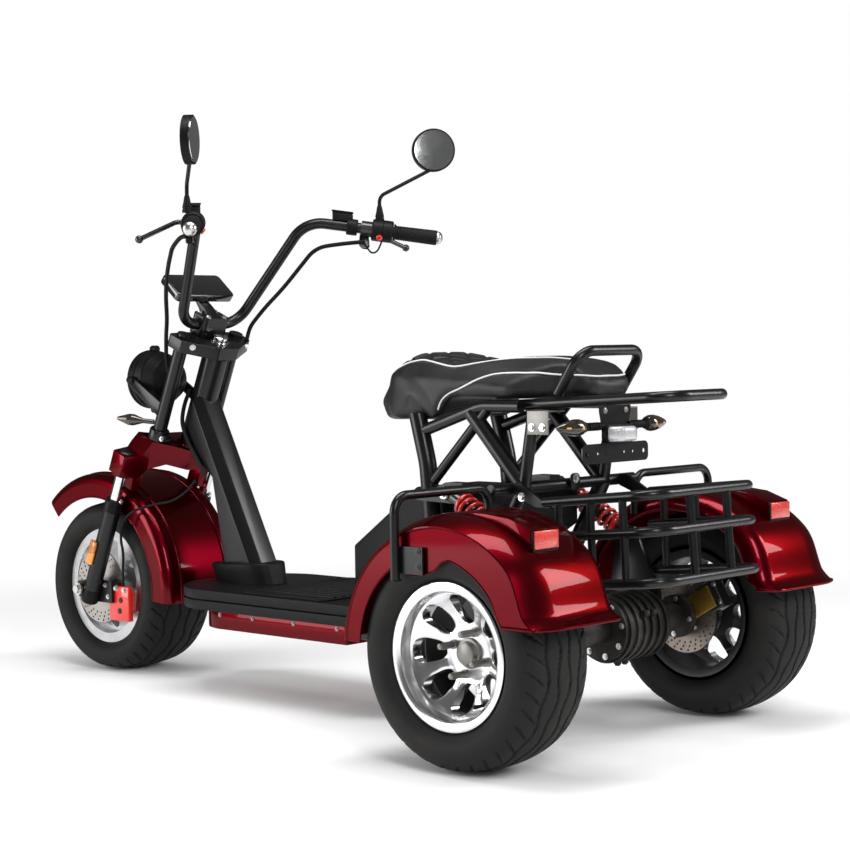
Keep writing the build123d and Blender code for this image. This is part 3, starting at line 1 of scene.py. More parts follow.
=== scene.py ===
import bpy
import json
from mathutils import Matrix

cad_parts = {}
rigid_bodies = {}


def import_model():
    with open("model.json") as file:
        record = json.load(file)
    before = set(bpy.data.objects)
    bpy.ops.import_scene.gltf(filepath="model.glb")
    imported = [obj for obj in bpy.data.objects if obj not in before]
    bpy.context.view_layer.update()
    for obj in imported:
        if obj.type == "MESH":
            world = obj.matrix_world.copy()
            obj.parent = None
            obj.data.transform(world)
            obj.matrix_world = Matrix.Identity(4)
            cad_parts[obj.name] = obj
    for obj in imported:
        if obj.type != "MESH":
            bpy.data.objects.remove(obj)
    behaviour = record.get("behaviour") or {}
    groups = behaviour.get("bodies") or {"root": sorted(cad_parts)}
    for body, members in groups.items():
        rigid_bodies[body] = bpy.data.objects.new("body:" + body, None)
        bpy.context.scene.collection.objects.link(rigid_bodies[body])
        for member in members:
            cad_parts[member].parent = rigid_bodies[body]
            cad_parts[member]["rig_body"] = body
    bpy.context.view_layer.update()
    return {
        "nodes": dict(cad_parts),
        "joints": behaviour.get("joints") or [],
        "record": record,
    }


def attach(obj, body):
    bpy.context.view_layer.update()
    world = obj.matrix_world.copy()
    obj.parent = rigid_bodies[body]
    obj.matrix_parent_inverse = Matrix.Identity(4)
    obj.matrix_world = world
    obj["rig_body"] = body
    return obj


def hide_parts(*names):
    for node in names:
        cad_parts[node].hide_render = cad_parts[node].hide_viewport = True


bl_info = {
    "name": "Three-wheeled scooter dressing",
    "version": (1, 0, 0),
    "blender": (4, 5, 0),
    "location": "3D View > Sidebar > Scooter",
    "description": "Finishes, tread, seat cover, fittings and studio of the packed scooter",
    "category": "Object",
}

import itertools
import json
import math

import bmesh
import bpy
from mathutils import Matrix, Vector
from mathutils.bvhtree import BVHTree

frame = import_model()
NODES = frame["nodes"]
JOINTS = {joint["name"]: joint for joint in frame["joints"]}
SLOTS = {row["node"]: row["material_slot"] for row in frame["record"]["subparts"]}

MM = 0.001
REAR_AXLE = Vector(JOINTS["rear_left_spin"]["pos_m"])
FRONT_AXLE = Vector(JOINTS["front_wheel_spin"]["pos_m"])
HEAD = Vector(JOINTS["steer"]["pos_m"])
STEER_UP = Vector(JOINTS["steer"]["axis"]).normalized()
STEER_AHEAD = Vector((STEER_UP.z, 0, -STEER_UP.x))
LEFT = Vector((0, 1, 0))
UP = Vector((0, 0, 1))
BACK = Vector((-1, 0, 0))
REAR_RADIUS = 224.5


def at(x, y, z):
    """A point in millimetres from the ground under the middle of the rear axle."""
    return Vector((REAR_AXLE.x + x * MM, y * MM, z * MM))


def from_head(x, y, z):
    """A point in millimetres from the middle of the steering head."""
    return HEAD + Vector((x, y, z)) * MM


def on_fork(x, y, z):
    """A point in millimetres ahead of, left of and up along the steering axis."""
    return HEAD + STEER_AHEAD * (x * MM) + LEFT * (y * MM) + STEER_UP * (z * MM)


def across(point):
    """The same point on the other side of the scooter."""
    return Vector((point.x, -point.y, point.z))


# Sizes and colours that a user would change


def length(label, note, millimetres):
    return bpy.props.FloatProperty(
        name=label, description=note, default=millimetres * MM, min=0, subtype="DISTANCE", unit="LENGTH"
    )


def power(label, note, watts):
    return bpy.props.FloatProperty(
        name=label, description=note, default=watts, min=0, subtype="POWER", unit="POWER"
    )


def colour(label, note, value):
    return bpy.props.FloatVectorProperty(
        name=label, description=note, default=value, size=3, min=0, max=1, subtype="COLOR"
    )


class ScooterPaint(bpy.types.PropertyGroup):
    """Colours of the painted, sewn and moulded pieces."""

    fender_red: colour("Fender red", "Candy red of fenders, yoke and deck case", (0.11, 0.0003, 0.005))
    frame_black: colour("Frame black", "Coating of the tubes", (0.004, 0.004, 0.0045))
    leather: colour("Leather", "Seat cover", (0.008, 0.008, 0.009))
    piping: colour("Piping", "Cord sewn into the seat's seams", (0.78, 0.77, 0.75))
    caliper: colour("Caliper", "Front brake caliper", (0.72, 0.022, 0.012))


class ScooterTread(bpy.types.PropertyGroup):
    """Road tread of the tyres."""

    groove_depth: length("Groove depth", "Depth of the grooves round the tyre", 6.0)
    groove_width: length("Groove width", "Width of the grooves round the tyre", 7.0)
    wave: length("Wave", "How far the grooves swing to each side", 4.0)
    cuts: bpy.props.IntProperty(
        name="Cuts", description="Cross cuts round one shoulder", default=36, min=8, max=90
    )


class ScooterSeat(bpy.types.PropertyGroup):
    """Sewing of the seat."""

    quilt: length("Quilt", "Distance between the rows of quilting", 42.0)
    quilt_depth: length("Quilt depth", "How deep the quilting pulls in", 3.2)
    piping: length("Piping", "Radius of the piping", 1.9)
    swell: length("Swell", "How far the cover may swell", 5.0)


class ScooterStudio(bpy.types.PropertyGroup):
    """Light of the studio."""

    key: power("Key", "Main lamp", 95.0)
    top: power("Top", "Lamp above", 60.0)
    fill: power("Fill", "Lamp behind", 55.0)
    side: power("Side", "Lamp by the camera", 45.0)
    air: bpy.props.FloatProperty(name="Air", description="Light from all round", default=0.5, min=0.0)
    sheen: bpy.props.FloatProperty(
        name="Sheen", description="Air seen in reflections", default=0.10, min=0.0
    )


class ScooterSettings(bpy.types.PropertyGroup):
    """All the settings of the scooter."""

    paint: bpy.props.PointerProperty(type=ScooterPaint, name="Paint", description="Colours")
    tread: bpy.props.PointerProperty(type=ScooterTread, name="Tread", description="Tyre tread")
    seat: bpy.props.PointerProperty(type=ScooterSeat, name="Seat", description="Seat sewing")
    studio: bpy.props.PointerProperty(type=ScooterStudio, name="Studio", description="Lamps")


def settings():
    return bpy.context.scene.scooter


# Finishes


class Value:
    """A shader socket that takes part in ordinary arithmetic."""

    def __init__(self, finish, socket):
        self.finish = finish
        self.socket = socket

    def _sum(self, operation, first, second):
        return self.finish.add("ShaderNodeMath", {"operation": operation}, {0: first, 1: second})

    def __add__(self, other):
        return self._sum("ADD", self, other)

    def __sub__(self, other):
        return self._sum("SUBTRACT", self, other)

    def __mul__(self, other):
        return self._sum("MULTIPLY", self, other)

    def __rsub__(self, other):
        return self._sum("SUBTRACT", other, self)

    def __abs__(self):
        return self._sum("ABSOLUTE", self, 0.0)

    __radd__ = __add__
    __rmul__ = __mul__


class Finish:
    """A procedural material on Object coordinates."""

    def __init__(self, name):
        self.material = bpy.data.materials.new(name)
        self.material.use_nodes = True
        self.tree = self.material.node_tree
        self.tree.nodes.clear()
        self.place = self.add("ShaderNodeTexCoord", output="Object")

    def add(self, kind, options=None, inputs=None, output=0):
        node = self.tree.nodes.new(kind)
        for label, value in (options or {}).items():
            setattr(node, label, value)
        for label, value in (inputs or {}).items():
            socket = node.inputs[label]
            if isinstance(value, Value):
                self.tree.links.new(value.socket, socket)
            elif socket.type == "RGBA" and len(value) == 3:
                socket.default_value = (*value, 1)
            else:
                socket.default_value = value
        return Value(self, node.outputs[output]) if node.outputs else node

    def axes(self, vector=None):
        split = self.add("ShaderNodeSeparateXYZ", None, {0: vector or self.place})
        return [Value(self, socket) for socket in split.socket.node.outputs]

    def noise(self, scale, detail=2.0, vector=None):
        inputs = {"Vector": vector or self.place, "Scale": scale, "Detail": detail}
        return self.add("ShaderNodeTexNoise", None, inputs)

    def cells(self, scale, feature="F1"):
        return self.add(
            "ShaderNodeTexVoronoi", {"feature": feature}, {"Vector": self.place, "Scale": scale}
        )

    def stretched(self, scale):
        return self.add("ShaderNodeMapping", None, {"Vector": self.place, "Scale": scale})

    def ramp(self, value, low, high):
        inputs = {"Value": value, "From Min": low, "From Max": high}
        return self.add("ShaderNodeMapRange", {"interpolation_type": "SMOOTHSTEP"}, inputs)

    def mixed(self, share, first, second):
        return self.add("ShaderNodeMix", {"data_type": "RGBA"}, {0: share, 6: first, 7: second}, 2)

    def distance(self, centre, axis):
        """The distance in metres from a line through a centre along one of the axes."""
        shifted = self.add(
            "ShaderNodeVectorMath", {"operation": "SUBTRACT"}, {0: self.place, 1: tuple(centre)}
        )
        keep = tuple(0.0 if index == axis else 1.0 for index in range(3))
        flat = self.add("ShaderNodeVectorMath", {"operation": "MULTIPLY"}, {0: shifted, 1: keep})
        return self.add("ShaderNodeVectorMath", {"operation": "LENGTH"}, {0: flat}, 1)

    def bump(self, height, strength, distance=1.0):
        inputs = {"Height": height, "Strength": strength, "Distance": distance * MM}
        return self.add("ShaderNodeBump", None, inputs)

    def shade(self, **sockets):
        inputs = {label.replace("_", " "): value for label, value in sockets.items()}
        surface = self.add("ShaderNodeBsdfPrincipled", None, inputs)
        self.add("ShaderNodeOutputMaterial", None, {"Surface": surface})
        return self.material


def coated(name, deep, bright, metallic, roughness, coat, edge=(1.0, 1.0, 1.0)):
    """Paint with fine flake under a clear coat. edge is its tint where it is seen at a low angle."""
    f = Finish(name)
    flake = f.noise(900, 1)
    cloud = f.noise(5, 3)
    return f.shade(
        Base_Color=f.mixed(cloud, deep, bright),
        Metallic=metallic,
        Roughness=roughness + flake * 0.10,
        Specular_Tint=edge,
        Coat_Weight=coat,
        Coat_Roughness=0.035,
        Normal=f.bump(f.noise(60, 2), 0.03),
    )


def candy_red(name):
    red = settings().paint.fender_red
    edge = (0.7, 0.02, 0.05)
    return coated(name, [c * 0.8 for c in red], [c * 1.2 for c in red], 0.94, 0.27, 0.26, edge)


def caliper_red(name):
    red = settings().paint.caliper
    return coated(name, [c * 0.9 for c in red], tuple(red), 0.0, 0.28, 0.7)


def frame_black(name):
    black = settings().paint.frame_black
    f = Finish(name)
    peel = f.noise(260, 2)
    scuff = f.ramp(f.noise(14, 5), 0.62, 0.8)
    return f.shade(
        Base_Color=f.mixed(scuff, tuple(black), [c * 1.9 for c in black]),
        Roughness=0.26 + f.noise(30, 3) * 0.12,
        Specular_IOR_Level=0.3,
        Coat_Weight=0.18,
        Coat_Roughness=0.18,
        Normal=f.bump(peel, 0.06),
    )


def moulded(name, tint, roughness, grain):
    """Moulded plastic or rubber with a fine grain."""
    f = Finish(name)
    dust = f.noise(9, 4)
    return f.shade(
        Base_Color=f.mixed(f.ramp(dust, 0.35, 0.8), tint, [c * 1.55 for c in tint]),
        Roughness=roughness + dust * 0.14,
        Specular_IOR_Level=0.14,
        Normal=f.bump(f.cells(grain), 0.18),
    )


def tyre_rubber(name):
    f = Finish(name)
    dust = f.ramp(f.noise(7, 5), 0.45, 0.8)
    fine = f.noise(420, 2)
    return f.shade(
        Base_Color=f.mixed(dust, (0.006, 0.006, 0.006), (0.016, 0.014, 0.012)),
        Roughness=0.58 + fine * 0.18,
        Specular_IOR_Level=0.28,
        Normal=f.bump(fine, 0.22),
    )


def metal(name, tint, roughness, spread=0.14):
    """Bare metal with a drawn grain."""
    f = Finish(name)
    drawn = f.noise(1.0, 3, f.stretched((60, 60, 900)))
    return f.shade(
        Base_Color=f.mixed(f.noise(11, 3), [c * 0.86 for c in tint], tint),
        Metallic=1.0,
        Roughness=roughness + drawn * spread,
        Normal=f.bump(drawn, 0.05),
    )


def turned_metal(name, tint, roughness, centre):
    """Metal turned on a lathe, with rings round the wheel's axle."""
    f = Finish(name)
    rings = f.noise(1.0, 2, f.add("ShaderNodeCombineXYZ", None, {0: f.distance(centre, 1) * 2600.0}))
    stain = f.ramp(f.noise(18, 4), 0.4, 0.75)
    return f.shade(
        Base_Color=f.mixed(stain, tint, [c * 0.78 for c in tint]),
        Metallic=1.0,
        Roughness=roughness + rings * 0.16,
        Normal=f.bump(rings, 0.06),
    )


def bright_wheel(name):
    """Machined rear wheel: bright face and lip, black inside."""
    f = Finish(name)
    side = abs(f.axes()[1])
    face = f.ramp(side, 0.398, 0.401)
    rings = f.noise(1.0, 2, f.add("ShaderNodeCombineXYZ", None, {0: f.distance(REAR_AXLE, 1) * 2400.0}))
    smear = f.noise(24, 3)
    return f.shade(
        Base_Color=f.mixed(face, (0.010, 0.010, 0.010), (0.84, 0.84, 0.85)),
        Metallic=face,
        Roughness=0.40 - face * 0.27 + rings * 0.10 + smear * 0.06,
        Normal=f.bump(rings, 0.04),
    )


def cast_housing(name):
    f = Finish(name)
    sand = f.noise(240, 4)
    grime = f.ramp(f.noise(13, 5), 0.4, 0.72)
    return f.shade(
        Base_Color=f.mixed(grime, (0.014, 0.013, 0.012), (0.060, 0.054, 0.047)),
        Metallic=0.55,
        Roughness=0.42 + sand * 0.2,
        Normal=f.bump(sand, 0.35),
    )


def leather(name):
    hide = tuple(settings().paint.leather)
    f = Finish(name)
    pores = f.cells(520)
    crease = f.cells(210, "DISTANCE_TO_EDGE")
    worn = f.noise(6, 4)
    grain = f.ramp(crease, 0.0, 0.09) * 0.6 + pores * 0.5
    return f.shade(
        Base_Color=f.mixed(f.ramp(worn, 0.4, 0.75), hide, [c * 1.7 for c in hide]),
        Roughness=0.36 + worn * 0.16,
        Specular_IOR_Level=0.4,
        Normal=f.bump(grain, 0.30, 0.8),
    )


def piping_cord(name):
    f = Finish(name)
    weave = f.noise(1500, 1)
    cord = tuple(settings().paint.piping)
    return f.shade(
        Base_Color=f.mixed(weave, [c * 0.9 for c in cord], cord),
        Roughness=0.5 + weave * 0.2,
        Normal=f.bump(weave, 0.2),
    )


def prism_lens(name, low, high, pitch, split=None):
    """Moulded lens with rows of small prisms. split is the height where its two shades meet."""
    f = Finish(name)
    cells = f.cells(pitch)
    share = f.ramp(cells, 0.1, 0.6)
    if split is not None:
        share = f.ramp(f.axes()[2], split + 0.001, split - 0.001) * 0.75 + share * 0.25
    return f.shade(
        Base_Color=f.mixed(share, low, high),
        Roughness=0.16 + cells * 0.12,
        Coat_Weight=1.0,
        Coat_Roughness=0.05,
        Normal=f.bump(cells, 0.4),
    )


def clear_lens(name):
    f = Finish(name)
    across_y = f.axes()[1]
    flutes = f.add("ShaderNodeMath", {"operation": "SINE"}, {0: across_y * 900.0})
    return f.shade(
        Base_Color=f.mixed(f.noise(40, 2), (0.70, 0.72, 0.74), (0.92, 0.93, 0.95)),
        Metallic=0.35,
        Roughness=0.10 + f.noise(300, 1) * 0.06,
        Coat_Weight=1.0,
        Normal=f.bump(flutes, 0.25),
    )


def glass(name):
    f = Finish(name)
    smear = f.noise(30, 3)
    return f.shade(
        Base_Color=f.mixed(smear, (0.93, 0.95, 0.96), (0.98, 0.99, 1.0)),
        Roughness=0.02 + smear * 0.03,
        Transmission_Weight=0.9,
        IOR=1.45,
    )


def mirror_silver(name):
    f = Finish(name)
    smear = f.noise(22, 3)
    return f.shade(
        Base_Color=f.mixed(smear, (0.80, 0.81, 0.82), (0.90, 0.91, 0.92)),
        Metallic=1.0,
        Roughness=0.02 + smear * 0.04,
    )


def amber_strip(name):
    f = Finish(name)
    cells = f.cells(700)
    return f.shade(
        Base_Color=f.mixed(cells, (0.75, 0.30, 0.03), (0.95, 0.50, 0.10)),
        Roughness=0.2 + cells * 0.1,
        Coat_Weight=1.0,
    )


# Finishes by name: the function that makes each one, and what it is given after the name
MAKERS = {
    "candy_red": (candy_red,),
    "frame_black": (frame_black,),
    "black_plastic": (moulded, (0.0045, 0.0045, 0.005), 0.36, 1100),
    "grip_rubber": (moulded, (0.007, 0.007, 0.007), 0.55, 800),
    "deck_rubber": (moulded, (0.008, 0.008, 0.008), 0.40, 650),
    "hose_rubber": (moulded, (0.005, 0.005, 0.005), 0.42, 900),
    "battery_case": (moulded, (0.05, 0.05, 0.055), 0.5, 700),
    "tyre_rubber": (tyre_rubber,),
    "bright_wheel": (bright_wheel,),
    "silver_wheel": (turned_metal, (0.66, 0.66, 0.67), 0.22, FRONT_AXLE),
    "disc_steel": (turned_metal, (0.44, 0.41, 0.38), 0.30, FRONT_AXLE),
    "rear_disc_steel": (turned_metal, (0.36, 0.31, 0.27), 0.34, REAR_AXLE),
    "cast_housing": (cast_housing,),
    "seat_leather": (leather,),
    "seat_piping": (piping_cord,),
    "hub_steel": (metal, (0.10, 0.10, 0.105), 0.36),
    "chrome": (metal, (0.86, 0.87, 0.88), 0.05, 0.05),
    "bolt_steel": (metal, (0.72, 0.71, 0.69), 0.22),
    "zinc": (metal, (0.30, 0.29, 0.27), 0.42),
    "dark_bolt": (metal, (0.06, 0.06, 0.06), 0.35),
    "gold_plate": (metal, (0.55, 0.34, 0.06), 0.34),
    "spring_red": (coated, (0.42, 0.008, 0.008), (0.52, 0.012, 0.010), 0.0, 0.25, 0.8),
    "caliper_red": (caliper_red,),
    "damper_black": (coated, (0.010, 0.010, 0.010), (0.016, 0.016, 0.016), 0.2, 0.25, 0.5),
    "button_red": (coated, (0.62, 0.012, 0.008), (0.72, 0.02, 0.012), 0.0, 0.2, 0.8),
    "smoked_lens": (coated, (0.020, 0.014, 0.009), (0.034, 0.024, 0.015), 0.0, 0.06, 1.0),
    "screen_black": (coated, (0.006, 0.006, 0.007), (0.009, 0.009, 0.010), 0.0, 0.08, 1.0),
    "tail_red": (prism_lens, (0.36, 0.012, 0.010), (0.66, 0.05, 0.035), 420),
    "leg_amber": (prism_lens, (0.36, 0.10, 0.004), (0.90, 0.28, 0.010), 500, on_fork(66, 0, -366).z),
    "amber_strip": (amber_strip,),
    "clear_lens": (clear_lens,),
    "lamp_glass": (glass,),
    "mirror_silver": (mirror_silver,),
}
FINISHES = {}


def finish(name):
    if name not in FINISHES:
        maker, *rest = MAKERS[name]
        FINISHES[name] = maker(name, *rest)
    return FINISHES[name]


# Slots whose finish has another name
SLOT_FINISH = {
    "polished_alloy": "bright_wheel",
    "brake_steel": "disc_steel",
    "dark_casting": "cast_housing",
    "fork_chrome": "chrome",
    "zinc_steel": "zinc",
    "gold_bracket": "gold_plate",
    "amber_lens": "leg_amber",
    "display_black": "screen_black",
}
# Nodes that differ from their slot
NODE_FINISH = {
    "front_rim": "silver_wheel",
    "bar_looms": "hose_rubber",
    "neck_loom": "hose_rubber",
    "brake_hose": "hose_rubber",
    "front_axle": "bolt_steel",
    "mirrors": "black_plastic",
}


def look_of(node):
    """The name of a CAD node's finish."""
    slot = SLOTS[node]
    return NODE_FINISH.get(node, SLOT_FINISH.get(slot, slot))


# Shapes in mesh code


class Shape:
    """Turned, bent and boxed forms gathered in one mesh."""

    def __init__(self):
        self.bm = bmesh.new()

    def rows(self, rows, ring=False, loop=False):
        """A skin over rows of points: ring closes each row, loop joins the last row to the first."""
        made = [[self.bm.verts.new(point) for point in row] for row in rows]
        count = len(made[0])
        pairs = list(zip(made, made[1:])) + ([(made[-1], made[0])] if loop else [])
        for first, second in pairs:
            for index in range(count if ring else count - 1):
                after = (index + 1) % count
                self.bm.faces.new((first[index], first[after], second[after], second[index]))
        return made

    def turned(self, start, along, outline, segments=32, open_ends=False):
        """An outline of (distance, radius) in millimetres turned about a line."""
        axis = along.normalized()
        side = axis.orthogonal().normalized()
        other = axis.cross(side)
        rows = []
        for reach, radius in outline:
            middle = start + axis * (reach * MM)
            turns = [2 * math.pi * index / segments for index in range(segments)]
            rows.append(
                [middle + (side * math.cos(t) + other * math.sin(t)) * (radius * MM) for t in turns]
            )
        made = self.rows(rows, ring=True)
        if not open_ends:
            for row in (made[0], made[-1]):
                self.bm.faces.new(row)
        return self

    def tube(self, points, radius, segments=10, closed=False):
        """A round bar through points, carried without twist."""
        rows = []
        count = len(points)
        side = None
        for index, point in enumerate(points):
            before = points[index - 1] if index or closed else point
            after = points[(index + 1) % count] if index < count - 1 or closed else point
            way = (after - before).normalized()
            side = way.orthogonal() if side is None else side - way * side.dot(way)
            side.normalize()
            other = way.cross(side)
            turns = [2 * math.pi * step / segments for step in range(segments)]
            rows.append([point + (side * math.cos(t) + other * math.sin(t)) * (radius * MM) for t in turns])
        made = self.rows(rows, ring=True, loop=closed)
        if not closed:
            for row in (made[0], made[-1]):
                self.bm.faces.new(row)
        return self

    def slab(self, outline, push):
        """A flat outline of points pushed along a vector."""
        low = [self.bm.verts.new(point) for point in outline]
        high = [self.bm.verts.new(point + push) for point in outline]
        self.bm.faces.new(low)
        self.bm.faces.new(high)
        for index in range(len(low)):
            after = (index + 1) % len(low)
            self.bm.faces.new((low[index], low[after], high[after], high[index]))
        return self

    def mesh(self, name, ease=0.0, steps=2):
        """The finished mesh, with its edges eased by some millimetres."""
        bmesh.ops.remove_doubles(self.bm, verts=self.bm.verts, dist=1e-6)
        bmesh.ops.recalc_face_normals(self.bm, faces=self.bm.faces)
        if ease:
            sharp = [
                e for e in self.bm.edges
                if len(e.link_faces) == 2 and e.calc_face_angle() > math.radians(32)
            ]
            cut = {"offset": ease * MM, "segments": steps, "profile": 0.5, "affect": "EDGES"}
            bmesh.ops.bevel(self.bm, geom=sharp, clamp_overlap=True, **cut)
        mesh = bpy.data.meshes.new(name)
        self.bm.to_mesh(mesh)
        self.bm.free()
        return mesh


def piece(name, mesh, body, look, crease=38, nodes=()):
    """Put a mesh on a body as a piece, in place of CAD nodes where some are named."""
    made = bpy.data.objects.new(name, mesh)
    bpy.context.scene.collection.objects.link(made)
    if look:
        mesh.materials.clear()
        mesh.materials.append(finish(look))
    mesh.shade_smooth()
    mesh.set_sharp_from_angle(angle=math.radians(crease))
    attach(made, body)
    if nodes:
        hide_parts(*nodes)
    return made


def eased(node, width, look=None, steps=2, place=None):
    """A copy of a CAD node with eased edges, which stands for it. place can set it elsewhere."""
    shape = Shape()
    shape.bm.from_mesh(NODES[node].data)
    bmesh.ops.remove_doubles(shape.bm, verts=shape.bm.verts, dist=1e-6)
    bmesh.ops.dissolve_limit(
        shape.bm, angle_limit=math.radians(1), verts=shape.bm.verts, edges=shape.bm.edges
    )
    name = node + "_eased"
    mesh = shape.mesh(name, width, steps)
    if place:
        mesh.transform(place)
    body = NODES[node]["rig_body"]
    return piece(name, mesh, body, look or look_of(node), nodes=(node,))


def ring(centre, axis, radius, count, turn=0.0):
    """Points in a circle round an axis."""
    side = axis.orthogonal().normalized()
    other = axis.cross(side)
    turns = [math.radians(turn) + 2 * math.pi * index / count for index in range(count)]
    return [centre + (side * math.cos(t) + other * math.sin(t)) * (radius * MM) for t in turns]


def evaluated(carrier):
    """What an object comes to with its modifiers, as a plain mesh."""
    depsgraph = bpy.context.evaluated_depsgraph_get()
    return bpy.data.meshes.new_from_object(carrier.evaluated_get(depsgraph), depsgraph=depsgraph)


def flat_plate(name, outline, holes, thickness, place):
    """A flat plate with round holes: outline points and (x, y, radius) holes in millimetres."""
    curve = bpy.data.curves.new(name, "CURVE")
    curve.dimensions = "2D"
    curve.fill_mode = "BOTH"
    curve.extrude = thickness * MM / 2
    loops = [outline]
    for x, y, radius in holes:
        turns = [2 * math.pi * step / 14 for step in range(14)]
        loops.append([(x + radius * math.cos(t), y + radius * math.sin(t)) for t in turns])
    for points in loops:
        spline = curve.splines.new("POLY")
        spline.points.add(len(points) - 1)
        for spot, (x, y) in zip(spline.points, points):
            spot.co = (x * MM, y * MM, 0, 1)
        spline.use_cyclic_u = True
    carrier = bpy.data.objects.new(name, curve)
    bpy.context.scene.collection.objects.link(carrier)
    mesh = evaluated(carrier)
    bpy.data.objects.remove(carrier)
    mesh.transform(place)
    return mesh


def frame_at(origin, across_x, across_y):
    """A matrix whose plane holds two directions."""
    x = across_x.normalized()
    z = x.cross(across_y).normalized()
    y = z.cross(x)
    return Matrix.Translation(origin) @ Matrix((x, y, z)).transposed().to_4x4()


def rounded(half_width, half_height, corner, steps=5):
    """The outline of a rounded rectangle about the origin."""
    points = []
    for quarter in range(4):
        sx, sy = ((1, 1), (-1, 1), (-1, -1), (1, -1))[quarter]
        for step in range(steps + 1):
            t = math.pi / 2 * (quarter + step / steps)
            x, y = sx * (half_width - corner), sy * (half_height - corner)
            points.append((x + corner * math.cos(t), y + corner * math.sin(t)))
    return points


# Geometry Nodes for what repeats


class Tree:
    """A Geometry Nodes tree with named inputs."""

    def __init__(self, name, inputs):
        self.group = bpy.data.node_groups.new(name, "GeometryNodeTree")
        face = self.group.interface
        face.new_socket("Geometry", in_out="INPUT", socket_type="NodeSocketGeometry")
        for label, kind in inputs:
            face.new_socket(label, in_out="INPUT", socket_type="NodeSocket" + kind)
        face.new_socket("Geometry", in_out="OUTPUT", socket_type="NodeSocketGeometry")
        self.given = self.group.nodes.new("NodeGroupInput")
        self.result = self.group.nodes.new("NodeGroupOutput")

    def add(self, kind, options=None, inputs=None, output=0):
        node = self.group.nodes.new(kind)
        for label, value in (options or {}).items():
            setattr(node, label, value)
        for label, value in (inputs or {}).items():
            values = value if isinstance(value, list) else [value]
            for one in values:
                if isinstance(one, str):
                    self.group.links.new(self.given.outputs[one], node.inputs[label])
                elif isinstance(one, bpy.types.NodeSocket):
                    self.group.links.new(one, node.inputs[label])
                else:
                    node.inputs[label].default_value = one
        return node.outputs[output]

    def close(self, geometry):
        real = self.add("GeometryNodeRealizeInstances", None, {"Geometry": geometry})
        done = self.add("GeometryNodeSetMaterial", None, {"Geometry": real, "Material": "Finish"})
        self.group.links.new(done, self.result.inputs[0])
        return self.group


def fastener_tree():
    """A washer and a head on every point, facing along the point's facing attribute."""
    tree = Tree(
        "fasteners",
        [("Sides", "Int"), ("Head", "Float"), ("Crown", "Float"), ("Height", "Float"), ("Washer", "Float"),
         ("Sheet", "Float"), ("Finish", "Material")],
    )
    head = tree.add(
        "GeometryNodeMeshCone", None,
        {"Vertices": "Sides", "Radius Top": "Crown", "Radius Bottom": "Head", "Depth": "Height"},
    )
    washer = tree.add(
        "GeometryNodeMeshCylinder", None, {"Vertices": 20, "Radius": "Washer", "Depth": "Sheet"}
    )
    both = tree.add("GeometryNodeJoinGeometry", None, {"Geometry": [head, washer]})
    facing = tree.add("GeometryNodeInputNamedAttribute", {"data_type": "FLOAT_VECTOR"})
    facing.node.inputs["Name"].default_value = "facing"
    turn = tree.add("FunctionNodeAlignRotationToVector", {"axis": "Z"}, {"Vector": facing})
    spread = tree.add(
        "GeometryNodeInstanceOnPoints", None, {"Points": "Geometry", "Instance": both, "Rotation": turn}
    )
    return tree.close(spread)


def coil_tree():
    """A round wire wound along z."""
    tree = Tree(
        "coil",
        [
            ("Turns", "Float"), ("Coil", "Float"), ("Wire", "Float"), ("Rise", "Float"),
            ("Finish", "Material")
        ],
    )
    path = tree.add(
        "GeometryNodeCurveSpiral", None,
        {
            "Resolution": 28, "Rotations": "Turns", "Start Radius": "Coil", "End Radius": "Coil",
            "Height": "Rise"
        },
    )
    section = tree.add("GeometryNodeCurvePrimitiveCircle", None, {"Resolution": 10, "Radius": "Wire"})
    wire = tree.add(
        "GeometryNodeCurveToMesh", None, {"Curve": path, "Profile Curve": section, "Fill Caps": True}
    )
    return tree.close(wire)


def rib_tree():
    """Rings spaced along a straight line."""
    tree = Tree(
        "ribs",
        [("Start", "Vector"), ("End", "Vector"), ("Count", "Int"), ("Ring", "Float"), ("Wire", "Float"),
         ("Finish", "Material")],
    )
    path = tree.add("GeometryNodeCurvePrimitiveLine", None, {"Start": "Start", "End": "End"})
    spots = tree.add("GeometryNodeCurveToPoints", {"mode": "COUNT"}, {"Curve": path, "Count": "Count"})
    circle = tree.add("GeometryNodeCurvePrimitiveCircle", None, {"Resolution": 28, "Radius": "Ring"})
    section = tree.add("GeometryNodeCurvePrimitiveCircle", None, {"Resolution": 8, "Radius": "Wire"})
    hoop = tree.add("GeometryNodeCurveToMesh", None, {"Curve": circle, "Profile Curve": section})
    spread = tree.add(
        "GeometryNodeInstanceOnPoints", None,
        {"Points": spots, "Instance": hoop, "Rotation": spots.node.outputs["Rotation"]},
    )
    return tree.close(spread)


TREES = {}


def grown(name, maker, values, source=None):
    """Run a Geometry Nodes tree once and return what it makes as a plain mesh."""
    if maker not in TREES:
        TREES[maker] = maker()
    tree = TREES[maker]
    carrier = bpy.data.objects.new(name, source or bpy.data.meshes.new(name))
    bpy.context.scene.collection.objects.link(carrier)
    modifier = carrier.modifiers.new("Tree", "NODES")
    modifier.node_group = tree
    for item in tree.interface.items_tree:
        if item.in_out == "INPUT" and item.name in values:
            modifier[item.identifier] = values[item.name]
    mesh = evaluated(carrier)
    bpy.data.objects.remove(carrier)
    return mesh


